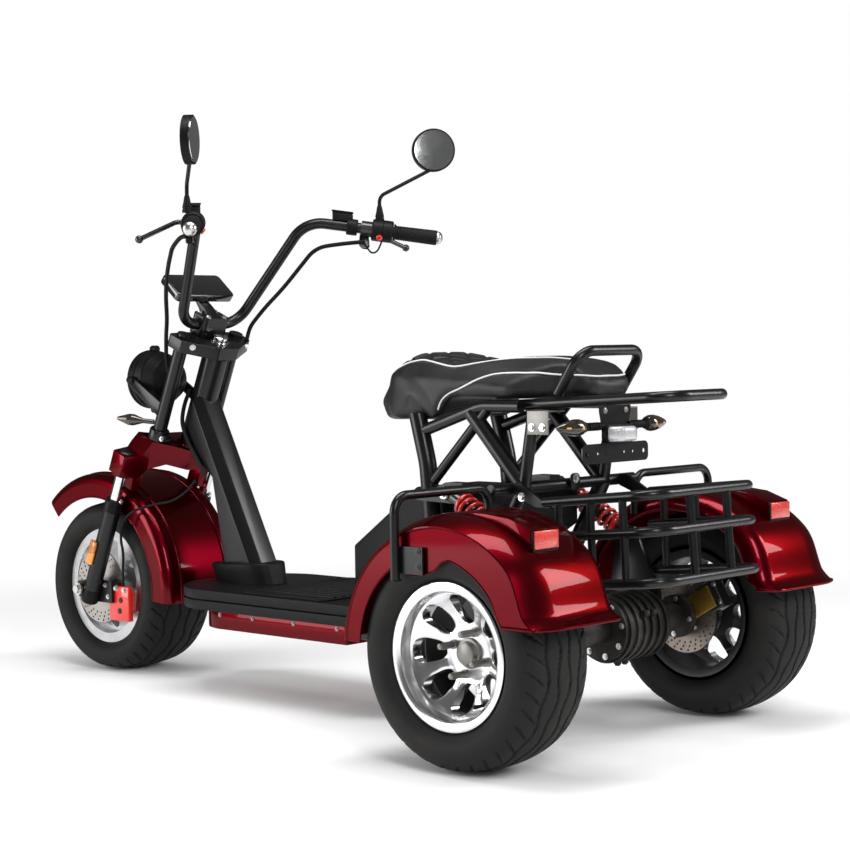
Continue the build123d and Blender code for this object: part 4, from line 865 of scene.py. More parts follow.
def fasteners(name, body, spots, head, height, look="bolt_steel", sides=6, washer=1.45):
    """Bolts or screws on (point, facing) spots, with sizes in millimetres."""
    points = bpy.data.meshes.new(name)
    points.from_pydata([spot for spot, facing in spots], [], [])
    facing = points.attributes.new("facing", "FLOAT_VECTOR", "POINT")
    facing.data.foreach_set("vector", [value for spot, way in spots for value in way])
    values = {
        "Sides": sides, "Head": head * MM, "Crown": head * (0.92 if sides == 6 else 0.62) * MM,
        "Height": height * MM, "Washer": head * washer * MM, "Sheet": 2.4 * MM, "Finish": finish(look),
    }
    return piece(name, grown(name, fastener_tree, values, points), body, None, crease=30)


def coil(name, body, start, end, turns, radius, wire, look, nodes=()):
    """A wound spring between two points."""
    way = end - start
    values = {
        "Turns": float(turns), "Coil": radius * MM, "Wire": wire * MM, "Rise": way.length,
        "Finish": finish(look)
    }
    mesh = grown(name, coil_tree, values)
    mesh.transform(frame_at(start, way.orthogonal(), way.cross(way.orthogonal())))
    return piece(name, mesh, body, None, nodes=nodes)


def ribs(name, body, start, end, count, radius, wire, look):
    """Raised rings between two points."""
    values = {
        "Start": tuple(start), "End": tuple(end), "Count": count, "Ring": radius * MM, "Wire": wire * MM,
        "Finish": finish(look),
    }
    return piece(name, grown(name, rib_tree, values), body, None)


def pairs(spots):
    """Spots on the left and their mirror images on the right."""
    return list(spots) + [(across(point), across(way)) for point, way in spots]


# Tyres

TYRES = [
    ("front_tyre", "front_wheel", 215.0, 205.0, 160.0, FRONT_AXLE),
    ("rear_tyre_left", "rear_wheel_left", REAR_RADIUS, 190.0, 158.0, REAR_AXLE),
    ("rear_tyre_right", "rear_wheel_right", REAR_RADIUS, 190.0, 158.0, across(REAR_AXLE)),
]


# Grooves round the tyre: place across it as a share of the shoulder, and phase of its wave
GROOVES = ((-0.62, 0.0), (-0.2, 2.0), (0.2, 0.4), (0.62, 2.6))
WAVES = 14
# Cross cuts: where they start, their slant, the radius where they are spaced and their half-width
CUTS_FROM, CUT_SLANT, CUT_RADIUS, CUT_WIDTH = 0.70, 0.30, 215, 3.2


def bow(first, middle, last, count):
    """Points along the circle through three points of a section."""
    (ax, ay), (bx, by), (cx, cy) = first, middle, last
    d = 2 * (ax * (by - cy) + bx * (cy - ay) + cx * (ay - by))
    sa, sb, sc = ax * ax + ay * ay, bx * bx + by * by, cx * cx + cy * cy
    ux = (sa * (by - cy) + sb * (cy - ay) + sc * (ay - by)) / d
    uy = (sa * (cx - bx) + sb * (ax - cx) + sc * (bx - ax)) / d
    angles = [math.atan2(y - uy, x - ux) for x, y in (first, middle, last)]
    for index in (1, 2):
        while angles[index] - angles[index - 1] > math.pi:
            angles[index] -= 2 * math.pi
        while angles[index] - angles[index - 1] < -math.pi:
            angles[index] += 2 * math.pi
    radius = math.hypot(ax - ux, ay - uy)
    turns = [angles[0] + (angles[2] - angles[0]) * step / (count - 1) for step in range(count)]
    return [(ux + radius * math.cos(t), uy + radius * math.sin(t)) for t in turns]


def tread_cut(y, turn, shoulder, sizes):
    """How deep the tread is cut at a place across and round the tyre, in millimetres."""
    width, depth, wave, cuts = sizes
    deepest = 0.0
    for share, phase in GROOVES:
        middle = share * shoulder + wave * math.sin(WAVES * turn + phase)
        near = 1 - abs(y - middle) / (width / 2)
        deepest = max(deepest, min(1.0, near * 2.2))
    outside = abs(y) / shoulder - CUTS_FROM
    if outside > 0:
        place = ((turn + outside * CUT_SLANT) * cuts / (2 * math.pi)) % 1.0
        gap = min(place, 1 - place) * 2 * math.pi * CUT_RADIUS / cuts
        fade = min(1.0, outside * 9)
        deepest = max(deepest, min(1.0, (1 - gap / CUT_WIDTH) * 2) * 0.75 * fade)
    return max(0.0, deepest) * depth


class SCOOTER_OT_tyres(bpy.types.Operator):
    """Tyres with grooves round the tread, cross cuts in the shoulders and rings on the sidewalls"""

    bl_idname = "scooter.tyres"
    bl_label = "Tyres"

    def execute(self, context):
        tread = settings().tread
        sizes = [tread.groove_width / MM, tread.groove_depth / MM, tread.wave / MM, tread.cuts]
        for node, body, radius, width, rim_width, centre in TYRES:
            bead = rim_width / 2 - 5.3
            lip, bore = 144.8, 127.3
            shoulder, low = width / 2 - 30, radius - 7
            bulge = (lip + low) / 2
            side = bow((bead, lip), (width / 2, bulge), (shoulder, low), 20)
            crown = bow((shoulder, low), (0, radius), (-shoulder, low), 62)[1:-1]
            section = [(bead, bore), *side, *crown, *[(-y, r) for y, r in reversed(side)], (-bead, bore)]
            count = 520
            rows = []
            for step in range(count):
                turn = 2 * math.pi * step / count
                row = []
                for y, r in section:
                    treaded = r > low - 16 and abs(y) < width / 2 - 10
                    cut = tread_cut(y, turn, width / 2 - 22, sizes) if treaded else 0
                    raised = 0.9 if 168 < r < 171 or 184 < r < 185.5 else 0.0
                    reach = (r - cut) * MM
                    spot = (y + math.copysign(raised, y)) * MM
                    row.append(centre + Vector((reach * math.cos(turn), spot, reach * math.sin(turn))))
                rows.append(row)
            shape = Shape()
            shape.rows(rows, ring=True, loop=True)
            mesh = shape.mesh(node)
            piece(node + "_tread", mesh, body, "tyre_rubber", crease=50, nodes=(node,))
        return {"FINISHED"}


SPOKES = 8
WHEEL_FACE = [(28, 402), (48, 402), (60, 405), (80, 414), (98, 426), (110, 436), (120.5, 442)]


def along(table, place):
    """The value of a table of (place, value) at a place, straight between its rows."""
    for (x0, y0), (x1, y1) in zip(table, table[1:]):
        if place <= x1:
            return y0 + (y1 - y0) * max(0.0, (place - x0) / (x1 - x0))
    return table[-1][1]


def share_of(value, first, last):
    """How far a value has gone from a first to a last one, smoothly from 0 to 1."""
    t = min(1.0, max(0.0, (value - first) / (last - first)))
    return t * t * (3 - 2 * t)


def dished_wheel(sign):
    """A rear wheel whose eight spokes lead in from the lip to a hub set deep in the rim."""
    inside, outside = 57.0, 116.0
    shape = Shape()
    reaches = [28, 34, 40, 46, 52] + [
        inside + (outside - inside) * (0.5 - 0.5 * math.cos(math.pi * k / 26)) for k in range(27)
    ]
    reaches += [117.5, 119, 120.5]
    for spoke in range(SPOKES):
        middle = 2 * math.pi * (spoke + 0.5) / SPOKES
        rows = []
        for reach in reaches:
            share = (reach - (inside + outside) / 2) / ((outside - inside) / 2)
            open_half = max(0.0, 1 - abs(share) ** 3.2) ** 0.40 * (0.66 - 0.02 * share)
            half = math.pi / SPOKES * (1 - open_half)
            row = []
            for step in range(9):
                place = step / 4 - 1
                turn = middle + half * place
                sink = 3.0 * open_half * place**4
                y = along(WHEEL_FACE, reach) - sink
                row.append(at(reach * math.cos(turn), sign * y, REAR_RADIUS + reach * math.sin(turn)))
            rows.append(row)
        shape.rows(rows)
    bm = shape.bm
    bmesh.ops.remove_doubles(bm, verts=bm.verts, dist=2e-5)
    bmesh.ops.recalc_face_normals(bm, faces=bm.faces)
    if sum(f.normal.y for f in bm.faces) * sign < 0:
        bmesh.ops.reverse_faces(bm, faces=bm.faces)
    deep = bmesh.ops.extrude_face_region(bm, geom=list(bm.faces))
    moved = [v for v in deep["geom"] if isinstance(v, bmesh.types.BMVert)]
    bmesh.ops.translate(bm, verts=moved, vec=LEFT * (-sign * 22 * MM))
    bmesh.ops.recalc_face_normals(bm, faces=bm.faces)
    barrel = [
        (-79, 144.5), (-79, 138), (-72, 127.6), (60, 127.0), (66, 127.0), (73, 139), (78, 143), (79.4, 143),
        (80.6, 141), (81, 137), (80, 130), (76, 124), (66, 120.5), (20, 119.5), (-72, 121), (-79, 134),
    ]
    shape.turned(at(0, sign * 389, REAR_RADIUS), LEFT * sign, barrel + [barrel[0]], 96, open_ends=True)
    return shape.mesh("dished_wheel")


class SCOOTER_OT_wheels(bpy.types.Operator):
    """Dished rear wheels, drilled brake discs, hubs, long lug nuts, hub caps and valves"""

    bl_idname = "scooter.wheels"
    bl_label = "Wheels"

    def execute(self, context):
        def drilled(name, body, y, radius, inside, look, nodes=()):
            rim = [
                (radius * math.cos(t), radius * math.sin(t))
                for t in [math.radians(5 * k) for k in range(72)]
            ]
            holes = [(0, 0, inside)]
            for row, (reach, shift) in enumerate(((0.93, 0.0), (0.83, 0.5), (0.73, 0.0))):
                for k in range(26):
                    t = 2 * math.pi * (k + shift + row * 0.2) / 26
                    holes.append((radius * reach * math.cos(t), radius * reach * math.sin(t), 2.6))
            centre = FRONT_AXLE if body == "front_wheel" else REAR_AXLE
            place = frame_at(Vector((centre.x, y * MM, centre.z)), Vector((1, 0, 0)), UP)
            return piece(name, flat_plate(name, rim, holes, 4, place), body, look, nodes=nodes)

        drilled(
            "front_disc_drilled", "front_wheel", 99, 92, 14, "disc_steel", ("front_disc",)
        )
        hub = [
            (-99, 15), (-15, 15), (-14, 28), (8, 30), (38, 30), (39, 58), (49, 58), (51, 56), (51, 15),
            (100, 15), (100, 0.5),
        ]
        cap = [(-40, 30), (0, 30), (3, 28), (4, 24), (10, 22), (14, 21), (16, 17), (17, 0.5)]
        nut = [(-8, 9), (3, 9), (4, 7), (32, 7), (34, 6.4), (40, 6), (41.5, 4), (42, 0.5)]
        stem = [(-6, 3), (12, 3), (13, 4.2), (22, 4.2), (24, 3.4), (24, 0.5)]
        for side, sign in (("left", 1), ("right", -1)):
            body = "rear_wheel_" + side
            out = LEFT * sign
            start = at(0, sign * 289, REAR_RADIUS)
            shape = Shape().turned(start, out, hub, 36)
            name = f"rear_hub_{side}"
            piece(name + "_turned", shape.mesh(name), body, "hub_steel", nodes=(name,))
            drilled(name + "_disc", body, sign * 284, 82, 29, "rear_disc_steel")
            name = f"rear_rim_{side}"
            mesh = dished_wheel(sign)
            piece(name + "_dished", mesh, body, "bright_wheel", crease=30, nodes=(name,))
            face = at(0, sign * 404, REAR_RADIUS)
            shape = Shape().turned(face, out, cap, 36)
            for spot in ring(face, out, 43, 4, 27):
                shape.turned(spot, out, nut, 18)
            piece(f"lug_nuts_{side}", shape.mesh("lug_nuts"), body, "zinc")
            spots = [(spot, -out) for spot in ring(at(0, sign * 282, REAR_RADIUS), out, 36, 5)]
            fasteners(f"disc_bolts_{side}", body, spots, 4.5, 4, "bolt_steel", 6, 1.3)
            valve = at(0, sign * 446, REAR_RADIUS) + Vector((-0.62, 0, -0.78)) * 0.112
            shape = Shape().turned(valve, out, stem, 12)
            piece(f"valve_{side}", shape.mesh("valve"), body, "hose_rubber")
        spots = [(spot, LEFT) for spot in ring(at(1534, 101.1, 215), LEFT, 30, 6)]
        fasteners("front_disc_bolts", "front_wheel", spots, 5, 4, "bolt_steel", 6, 1.3)
        return {"FINISHED"}


# Fenders

FENDER_IN, FENDER_OUT, CROWN = 246.0, 494.0, 270.0
LOBE = [
    (0, 260), (59, 260), (62, 192), (65, 170), (68, 162), (74, 158.5), (80, 158), (85, 161), (88.5, 166.5),
    (91, 173.5), (93.2, 179.8), (96.2, 183.6), (100.3, 190.5), (104, 260), (180, 260),
]


def fender_section(turn):
    """Half-outline of a rear fender at an angle round the axle, as (y, radius)."""
    c, s = math.cos(turn), math.sin(turn)
    skirt = min(17 * c + math.sqrt(191**2 - (17 * s) ** 2), along(LOBE, math.degrees(turn)))
    inner = bow((FENDER_IN, CROWN - 34), (FENDER_IN + 10, CROWN - 10), (FENDER_IN + 34, CROWN), 7)
    outer = bow((FENDER_OUT - 78, CROWN), (FENDER_OUT - 33, CROWN - 6.5), (FENDER_OUT - 1, CROWN - 21), 12)
    wall = [(FENDER_OUT, CROWN - 23.5), (FENDER_OUT - 0.6, CROWN - 25), (FENDER_OUT - 3, CROWN - 26.5)]
    drop = [(FENDER_OUT - 3, CROWN - 26.5 + (skirt - CROWN + 26.5) * k / 6) for k in range(1, 6)]
    lip = [(FENDER_OUT - 3, skirt + 3), (FENDER_OUT - 1.4, skirt + 1), (FENDER_OUT - 1.4, skirt)]
    return [(FENDER_IN, 226.0), *inner, *outer, *wall, *drop, *lip]


def fender_rows():
    """The sections of the left rear fender, round the wheel and then out along its flared tail."""
    rows = []
    for step in range(180):
        turn = math.radians(3 + 161 * step / 179)
        rows.append(
            [(r * math.cos(turn), y, REAR_RADIUS + r * math.sin(turn)) for y, r in fender_section(turn)]
        )
    last = math.radians(164)
    reach = CROWN + 45
    px, pz = reach * math.cos(last), REAR_RADIUS + reach * math.sin(last)
    base = rows[-1]
    for step in range(1, 17):
        bend = -math.radians(32 * step / 16)
        c, s = math.cos(bend), math.sin(bend)
        rows.append(
            [(px + (x - px) * c - (z - pz) * s, y, pz + (x - px) * s + (z - pz) * c) for x, y, z in base]
        )
    return [[(flared(x, z), y, z) for x, y, z in row] for row in rows]


def flared(x, z):
    """Draw the tail in above its edge and roll the edge out again."""
    drawn = share_of(z, 420, 322) * share_of(-x, 120, 210)
    rolled = min(1.4, max(0.0, (320 - z) / 24)) ** 1.6
    return x + drawn * (20 - 17 * rolled)


class SCOOTER_OT_fenders(bpy.types.Operator):
    """Rear fenders with creased skirts, rolled tails and lamp pods, and the beads of the front fender"""

    bl_idname = "scooter.fenders"
    bl_label = "Fenders"

    def execute(self, context):
        for side, sign in (("left", 1), ("right", -1)):
            shape = Shape()
            shape.rows([[at(x, sign * y, z) for x, y, z in row] for row in fender_rows()])
            bm = shape.bm
            tail = [f for f in bm.faces if f.calc_center_median().x < REAR_AXLE.x - 0.05]
            edges, verts = {e for f in tail for e in f.edges}, {v for f in tail for v in f.verts}
            geom = tail + list(edges) + list(verts)
            cut = bmesh.ops.bisect_plane(
                bm, geom=geom, dist=1e-6, plane_co=at(0, 0, 296), plane_no=-UP, clear_outer=True
            )
            edge = [e for e in cut["geom_cut"] if isinstance(e, bmesh.types.BMEdge)]
            rim = sorted({tuple(v.co) for e in edge for v in e.verts}, key=lambda p: sign * p[1])
            bmesh.ops.remove_doubles(bm, verts=bm.verts, dist=1e-5)
            bmesh.ops.recalc_face_normals(bm, faces=bm.faces)
            crown = min(bm.faces, key=lambda f: (f.calc_center_median() - at(0, sign * 370, 494)).length)
            if crown.normal.z < 0:
                bmesh.ops.reverse_faces(bm, faces=bm.faces)
            mesh = bpy.data.meshes.new("rear_fender_" + side)
            bm.to_mesh(mesh)
            bm.free()
            name = f"rear_fender_{side}"
            shell = piece(
                name + "_shell", mesh, "chassis", "candy_red", crease=24, nodes=(name,)
            )
            wall = shell.modifiers.new("Wall", "SOLIDIFY")
            wall.thickness = 3 * MM
            wall.offset = -1
            trim = Shape()
            trim.tube([Vector(point) for point in rim], 3.2, 10)
            pod = [
                (-172, 469), (-120, 487.5), (-60, 494), (-20, 494.6), (-20, 486), (-60, 480), (-120, 450),
                (-172, 420)
            ]
            trim.slab([at(x, sign * 346, z) for x, z in pod], LEFT * (sign * 76 * MM))
            piece(name + "_pod", trim.mesh("pod", 3.0, 3), "chassis", "candy_red", crease=40)
            frame_box = Shape()
            frame_box.slab(
                [at(-172.3, sign * (384 + y), 447.5 + z) for y, z in rounded(37, 19.5, 4)], BACK * 0.0052
            )
            piece(name + "_frame", frame_box.mesh("frame", 1.2), "chassis", "black_plastic")
        eased("rear_reflectors", 1.6)

        def round_wheel(radius, y, first, last, steps=60):
            turns = [math.radians(first + (last - first) * k / steps) for k in range(steps + 1)]
            points = [(radius * math.cos(t), y, radius * math.sin(t)) for t in turns]
            return [FRONT_AXLE + Vector(point) * MM for point in points]

        beads = Shape()
        for sign in (1, -1):
            beads.tube(round_wheel(284.4, sign * 72, 50, 184.5), 4.2, 10)
            beads.tube(round_wheel(227, sign * 116, 49.4, 184.6), 2.6, 10)
        piece("front_fender_beads", beads.mesh("beads"), "fork", "candy_red")
        return {"FINISHED"}


# Seat


# Places of the seams on the left half, and the cell in which a seam's points are looked up
SEAM_CELL = 0.02
SEAM_TOP = [
    (548, 0, 740), (540, 40, 742), (520, 74, 748), (490, 92, 758), (455, 94, 768), (428, 91, 775),
    (402, 88, 778), (350, 98, 770), (306, 104, 765), (262, 96, 770), (214, 70, 781), (160, 52, 788),
    (105, 46, 789), (62, 34, 786), (44, 0, 784),
]
SEAM_SIDE = [
    (334, 124, 674), (322, 132, 690), (300, 137, 703), (272, 139, 716), (240, 138, 730), (207, 130, 747),
    (182, 122, 755), (156, 117, 758), (127, 115, 759), (94, 114, 757), (60, 99, 751), (22, 85, 747),
    (-14, 72, 748), (-29, 42, 750), (-32, 0, 751),
]


def smooth_path(points, steps=8):
    """A smooth line through points."""
    made = []
    for index in range(len(points) - 1):
        p0, p1 = points[max(index - 1, 0)], points[index]
        p2, p3 = points[index + 1], points[min(index + 2, len(points) - 1)]
        for step in range(steps):
            t = step / steps
            made.append(
                0.5 * (2 * p1 + (p2 - p0) * t + (2 * p0 - 5 * p1 + 4 * p2 - p3) * t * t
                       + (3 * p1 - p0 - 3 * p2 + p3) * t**3)
            )
    return made + [points[-1]]


def puffed(mesh, swell):
    """Blow a closed cover up a little with the cloth solver, by no more than the swell in metres."""
    pad = bpy.data.objects.new("seat_pad", mesh)
    bpy.context.scene.collection.objects.link(pad)
    remesh = pad.modifiers.new("Remesh", "REMESH")
    remesh.mode = "VOXEL"
    remesh.voxel_size = 6 * MM
    even = evaluated(pad)
    pad.modifiers.clear()
    pad.data = even
    soft = pad.modifiers.new("Smooth", "SMOOTH")
    soft.factor = 0.5
    soft.iterations = 34
    even = evaluated(pad)
    pad.modifiers.clear()
    pad.data = even
    rest = [vertex.co.copy() for vertex in even.vertices]
    cloth = pad.modifiers.new("Cloth", "CLOTH")
    cloth.settings.use_pressure = True
    cloth.settings.uniform_pressure_force = 4
    cloth.settings.effector_weights.gravity = 0
    cloth.settings.quality = 4
    scene = bpy.context.scene
    for number in range(1, 15):
        scene.frame_set(number)
    blown = evaluated(pad)
    scene.frame_set(1)
    pad.modifiers.clear()
    for vertex, old in zip(blown.vertices, rest):
        move = vertex.co - old
        if move.length > swell:
            move *= swell / move.length
        if old.z < at(0, 0, 712).z and move.z < 0:
            move.z = 0
        vertex.co = old + move
    pad.data = blown
    finer = pad.modifiers.new("Finer", "SUBSURF")
    finer.levels = finer.render_levels = 1
    done = evaluated(pad)
    bpy.data.objects.remove(pad)
    return done


class SCOOTER_OT_seat(bpy.types.Operator):
    """Padded seat with a quilted panel, pulled-in seams and white piping"""

    bl_idname = "scooter.seat"
    bl_label = "Seat"

    def execute(self, context):
        sewing = settings().seat
        start = Shape()
        start.bm.from_mesh(NODES["seat"].data)
        cover = puffed(start.mesh("seat"), sewing.swell)
        for vertex in cover.vertices:
            x, z = (vertex.co.x - REAR_AXLE.x) / MM, vertex.co.z / MM
            ahead = max(0.0, x - 440) / 120
            height = share_of(z, 690, 770)
            nose, tail = share_of(x, 430, 545), share_of(x, 190, 0)
            below = share_of(z, 745, 680) * nose
            z -= 44 * ahead**1.3 * height + 13 * share_of(x, 280, 130) * height
            z -= 0.35 * max(0.0, 712 - z) + 6 * below
            x += 26 * below - 24 * tail
            vertex.co.x, vertex.co.z = REAR_AXLE.x + x * MM, z * MM
        tree = BVHTree.FromPolygons(
            [v.co for v in cover.vertices], [tuple(p.vertices) for p in cover.polygons]
        )
        seams = []
        for route in (SEAM_TOP, SEAM_SIDE):
            half = smooth_path([at(*point) for point in route])
            line = half + [across(point) for point in reversed(half[:-1])]
            seams.append([tree.find_nearest(point)[:2] for point in line])
        marks = [point for seam in seams for point, normal in seam]
        grid = {}
        for point in marks:
            grid.setdefault(tuple(int(c // SEAM_CELL) for c in point), []).append(point)
        pitch, depth = sewing.quilt / MM, sewing.quilt_depth / MM
        normals = [vertex.normal.copy() for vertex in cover.vertices]
        for vertex, normal in zip(cover.vertices, normals):
            cell = [int(c // SEAM_CELL) for c in vertex.co]
            around = itertools.product(*[(index - 1, index, index + 1) for index in cell])
            beside = [point for spot in around for point in grid.get(spot, ())]
            near = min([(vertex.co - point).length for point in beside], default=1.0)
            pull = 2.2 * math.exp(-((near / MM / 6.5) ** 2))
            x, y = (vertex.co.x - REAR_AXLE.x) / MM, vertex.co.y / MM
            inside = min(1.0, max(0.0, (94 - abs(y)) / 12)) * min(1.0, max(0.0, (x - 268) / 12))
            inside *= min(1.0, max(0.0, (510 - x) / 12)) * (1.0 if normal.z > 0.55 else 0.0)
            for line in (x + y, x - y):
                off = abs((line / 1.414 + pitch / 2) % pitch - pitch / 2)
                pull += inside * depth * math.exp(-((off / 3.6) ** 2))
            pull -= inside * 1.2
            vertex.co -= normal * (pull * MM)
        seat = piece(
            "seat_cover", cover, "chassis", "seat_leather", crease=80, nodes=("seat",)
        )
        tree = BVHTree.FromPolygons(
            [v.co for v in cover.vertices], [tuple(p.vertices) for p in cover.polygons]
        )
        cord = Shape()
        for seam in seams:
            line = []
            for point, normal in seam:
                spot, out = tree.find_nearest(point)[:2]
                line.append(spot + out * (0.6 * sewing.piping))
            for _ in range(3):
                inner = [(a + b * 2 + c) / 4 for a, b, c in zip(line, line[1:], line[2:])]
                line = [line[0], *inner, line[-1]]
            cord.tube(line, sewing.piping / MM, 8)
        piece("seat_piping", cord.mesh("piping"), "chassis", "seat_piping", crease=60)
        return {"FINISHED"}


# Frame, suspension and drive


class SCOOTER_OT_suspension(bpy.types.Operator):
    """Wound springs, collars and eye bolts of the rear shocks, and the swing arm"""

    bl_idname = "scooter.suspension"
    bl_label = "Suspension"

    def execute(self, context):
        bolts = []
        collars = Shape()
        collar = [(0, 14), (0, 24), (1.5, 25), (6, 25), (7.5, 24), (7.5, 14)]
        for sign, side in ((1, "left"), (-1, "right")):
            top, low = at(262, sign * 174, 505), at(50, sign * 174, 400)
            start, end = top.lerp(low, 0.22), top.lerp(low, 0.78)
            nodes = ("shock_springs",) if sign == 1 else ()
            coil(
                "shock_coil_" + side, "chassis", start, end, 7, 20.5, 4.2, "spring_red", nodes
            )
            way = low - top
            for share in (0.19, 0.775):
                collars.turned(top.lerp(low, share), way, collar, 28)
            for eye in (top, low):
                bolts.append((eye + LEFT * (sign * 15.8 * MM), LEFT * sign))
        piece("shock_collars", collars.mesh("collars"), "chassis", "spring_red")
        fasteners("shock_bolts", "chassis", bolts, 8.5, 6, "bolt_steel", 6, 1.35)
        eased("swing_arm", 1.2)
        return {"FINISHED"}


class SCOOTER_OT_drive(bpy.types.Operator):
    """Bolts, ears and cable gland of the drive unit, and the rear calipers"""

    bl_idname = "scooter.drive"
    bl_label = "Drive"

    def execute(self, context):
        spots = [(spot, LEFT) for spot in ring(at(0, 5.1, REAR_RADIUS), LEFT, 56, 8, 12)]
        spots += [(spot, -LEFT) for spot in ring(at(0, -145.1, REAR_RADIUS), LEFT, 56, 8, 12)]
        fasteners("motor_bolts", "chassis", spots, 5, 4.5, "bolt_steel", 6, 1.35)
        spots = []
        for sign in (1, -1):
            spots += [
                (spot, LEFT * -sign) for spot in ring(at(0, sign * 247.9, REAR_RADIUS), LEFT, 38, 4, 40)
            ]
        fasteners("axle_flange_bolts", "chassis", spots, 4.5, 4, "bolt_steel", 6, 1.35)
        clamp = Shape()
        for angle in (35, 155, 275):
            for y in (-58, -82):
                t = math.radians(angle)
                out = Vector((math.cos(t), 0, math.sin(t)))
                clamp.turned(
                    at(0, y, REAR_RADIUS) + out * (69 * MM), out,
                    [(0, 8), (10, 8), (12, 6), (14, 5), (14, 0.5)], 14
                )
        piece("motor_ears", clamp.mesh("ears"), "chassis", "cast_housing")
        gland = Shape()
        gland.turned(
            at(30, -70, 282), Vector((0.5, 0, 0.9)),
            [(0, 13), (10, 13), (12, 9), (26, 8), (28, 5), (28, 0.5)], 18
        )
        piece("motor_gland", gland.mesh("gland"), "chassis", "hose_rubber")
        for node, width in (("rear_calipers", 3.0), ("caliper_brackets", 0.9)):
            eased(node, width)
        bolts = []
        for sign in (1, -1):
            for x, z in ((-88, 298), (-62, 252), (-104, 262)):
                bolts.append((at(x, sign * 266.4, z), LEFT * -sign))
        fasteners("rear_caliper_bolts", "chassis", bolts, 4.6, 4, "bolt_steel", 6, 1.3)
        return {"FINISHED"}


class SCOOTER_OT_rear_end(bpy.types.Operator):
    """Plate bar with its lamp, rear signals, rack clamps, and bolts and caps of basket and hoops"""

    bl_idname = "scooter.rear_end"
    bl_label = "Rear end"

    def execute(self, context):
        bar = rounded(107, 20, 11)
        top = [index for index, (x, y) in enumerate(bar) if y > 19.9]
        neck = [
            (45, 20), (42, 26), (42, 50), (50, 84), (50, 100), (-50, 100), (-50, 84), (-42, 50), (-42, 26),
            (-45, 20)
        ]
        outline = bar[: top[0] + 1] + neck + bar[top[-1]:]
        holes = [(sign * 93, 0, 5) for sign in (1, -1)]
        holes += [(sign * reach, 0, 3.4) for sign in (1, -1) for reach in (28.5, 57)]
        place = frame_at(at(-39.8, 0, 588), LEFT, UP)
        mesh = flat_plate("plate_bar", outline, holes, 3, place)
        piece("plate_bar", mesh, "chassis", "frame_black", nodes=("plate_bracket",))
        eased("plate_lamp", 9.0, steps=5)
        hood = Shape().slab([at(-41.6, y, 626.5 + z) for y, z in rounded(46, 19, 14)], BACK * 0.012)
        piece("plate_lamp_hood", hood.mesh("hood", 1.5), "chassis", "black_plastic")
        spots = [(at(-41.4, sign * 34, 674), BACK) for sign in (1, -1)]
        fasteners("plate_bolts", "chassis", spots, 5, 4, "bolt_steel", 20, 1.2)
        stalk, pod, strip = Shape(), Shape(), Shape()
        for sign in (1, -1):
            start = at(-39.8, sign * 40.4, 643)
            way = LEFT * sign
            outline = [(0, 8), (10, 8), (12, 6)]
            for k in range(5):
                outline += [(14 + 7 * k, 8.5), (18 + 7 * k, 8.5), (19 + 7 * k, 6.2)]
            stalk.turned(start, way, outline + [(54, 8), (58, 11), (64, 12), (66, 11), (66, 0.5)], 24)
            tip = at(-33.8, sign * 178, 643)
            root = start + way * 0.062
            way = tip - root
            shell = [
                (0, 11), (6, 15), (14, 17), (26, 17), (42, 14.5), (58, 10), (70, 5.5), (75.5, 2), (76, 0.5)
            ]
            pod.turned(root, way, shell, 28)
            low, high = root + way.normalized() * 0.014, root + way.normalized() * 0.058
            lift = BACK * 0.0155
            strip.slab(
                [
                    low + lift + UP * 0.0034, high + lift * 0.62 + UP * 0.0016,
                    high + lift * 0.62 - UP * 0.0016, low + lift - UP * 0.0034
                ],
                BACK * 0.0022,
            )
        piece("signal_stalks", stalk.mesh("stalks"), "chassis", "hose_rubber")
        piece(
            "signal_pods", pod.mesh("pods"), "chassis", "smoked_lens",
            nodes=("rear_signals",)
        )
        piece("signal_strips", strip.mesh("strips", 0.5), "chassis", "amber_strip")
        stretch = Matrix.Diagonal((1.27, 1, 1, 1))
        place = Matrix.Translation(at(42, 0, 0)) @ stretch @ Matrix.Translation(-at(70, 0, 0))
        eased("rack_clamps", 0.9, place=place)
        spots = [(at(x, 146.1, 643), LEFT) for x in (29, 57)]
        fasteners("rack_bolts", "chassis", pairs(spots), 6, 5, "bolt_steel", 6, 1.4)
        ear = Shape().slab([at(80, y - 14, 524 + z) for y, z in rounded(15, 18, 12)], BACK * 0.004)
        piece("basket_ear", ear.mesh("ear", 0.8), "chassis", "frame_black")
        spots = [(at(60, 176.1, 505), LEFT), (at(75.9, -14, 530), BACK)]
        fasteners("basket_bolts", "chassis", spots, 6.5, 5, "bolt_steel", 6, 1.45)
        spots = [(at(41, 499.4, z), LEFT) for z in (394, 424)]
        fasteners("hoop_bolts", "chassis", pairs(spots), 4.6, 3.6, "dark_bolt", 20, 1.5)
        caps = Shape()
        for sign in (1, -1):
            caps.turned(at(95, sign * 502.3, 368), -UP, [(-1, 9.4), (2, 9.4), (4, 7), (4, 0.5)], 18)
            caps.turned(
                at(120, sign * 102, 686), Vector((1, 0, 0)), [(-1, 11.3), (3, 11.3), (5, 9), (5, 0.5)], 20
            )
        piece("tube_caps", caps.mesh("caps"), "chassis", "black_plastic")
        return {"FINISHED"}


# Rows of the collar round the neck's foot: share of its height, and how far it is drawn in
COLLAR_ROWS = [
    (0.0, 1.0), (0.3, 1.0), (0.6, 1.0), (0.88, 1.0), (0.97, 0.985), (1.0, 0.94), (1.0, 0.62), (0.1, 0.62)
]
COLLAR_BACK, COLLAR_BOW, COLLAR_HALF, DECK_FACE = 976.0, 1188.0, 54.0, 250.3


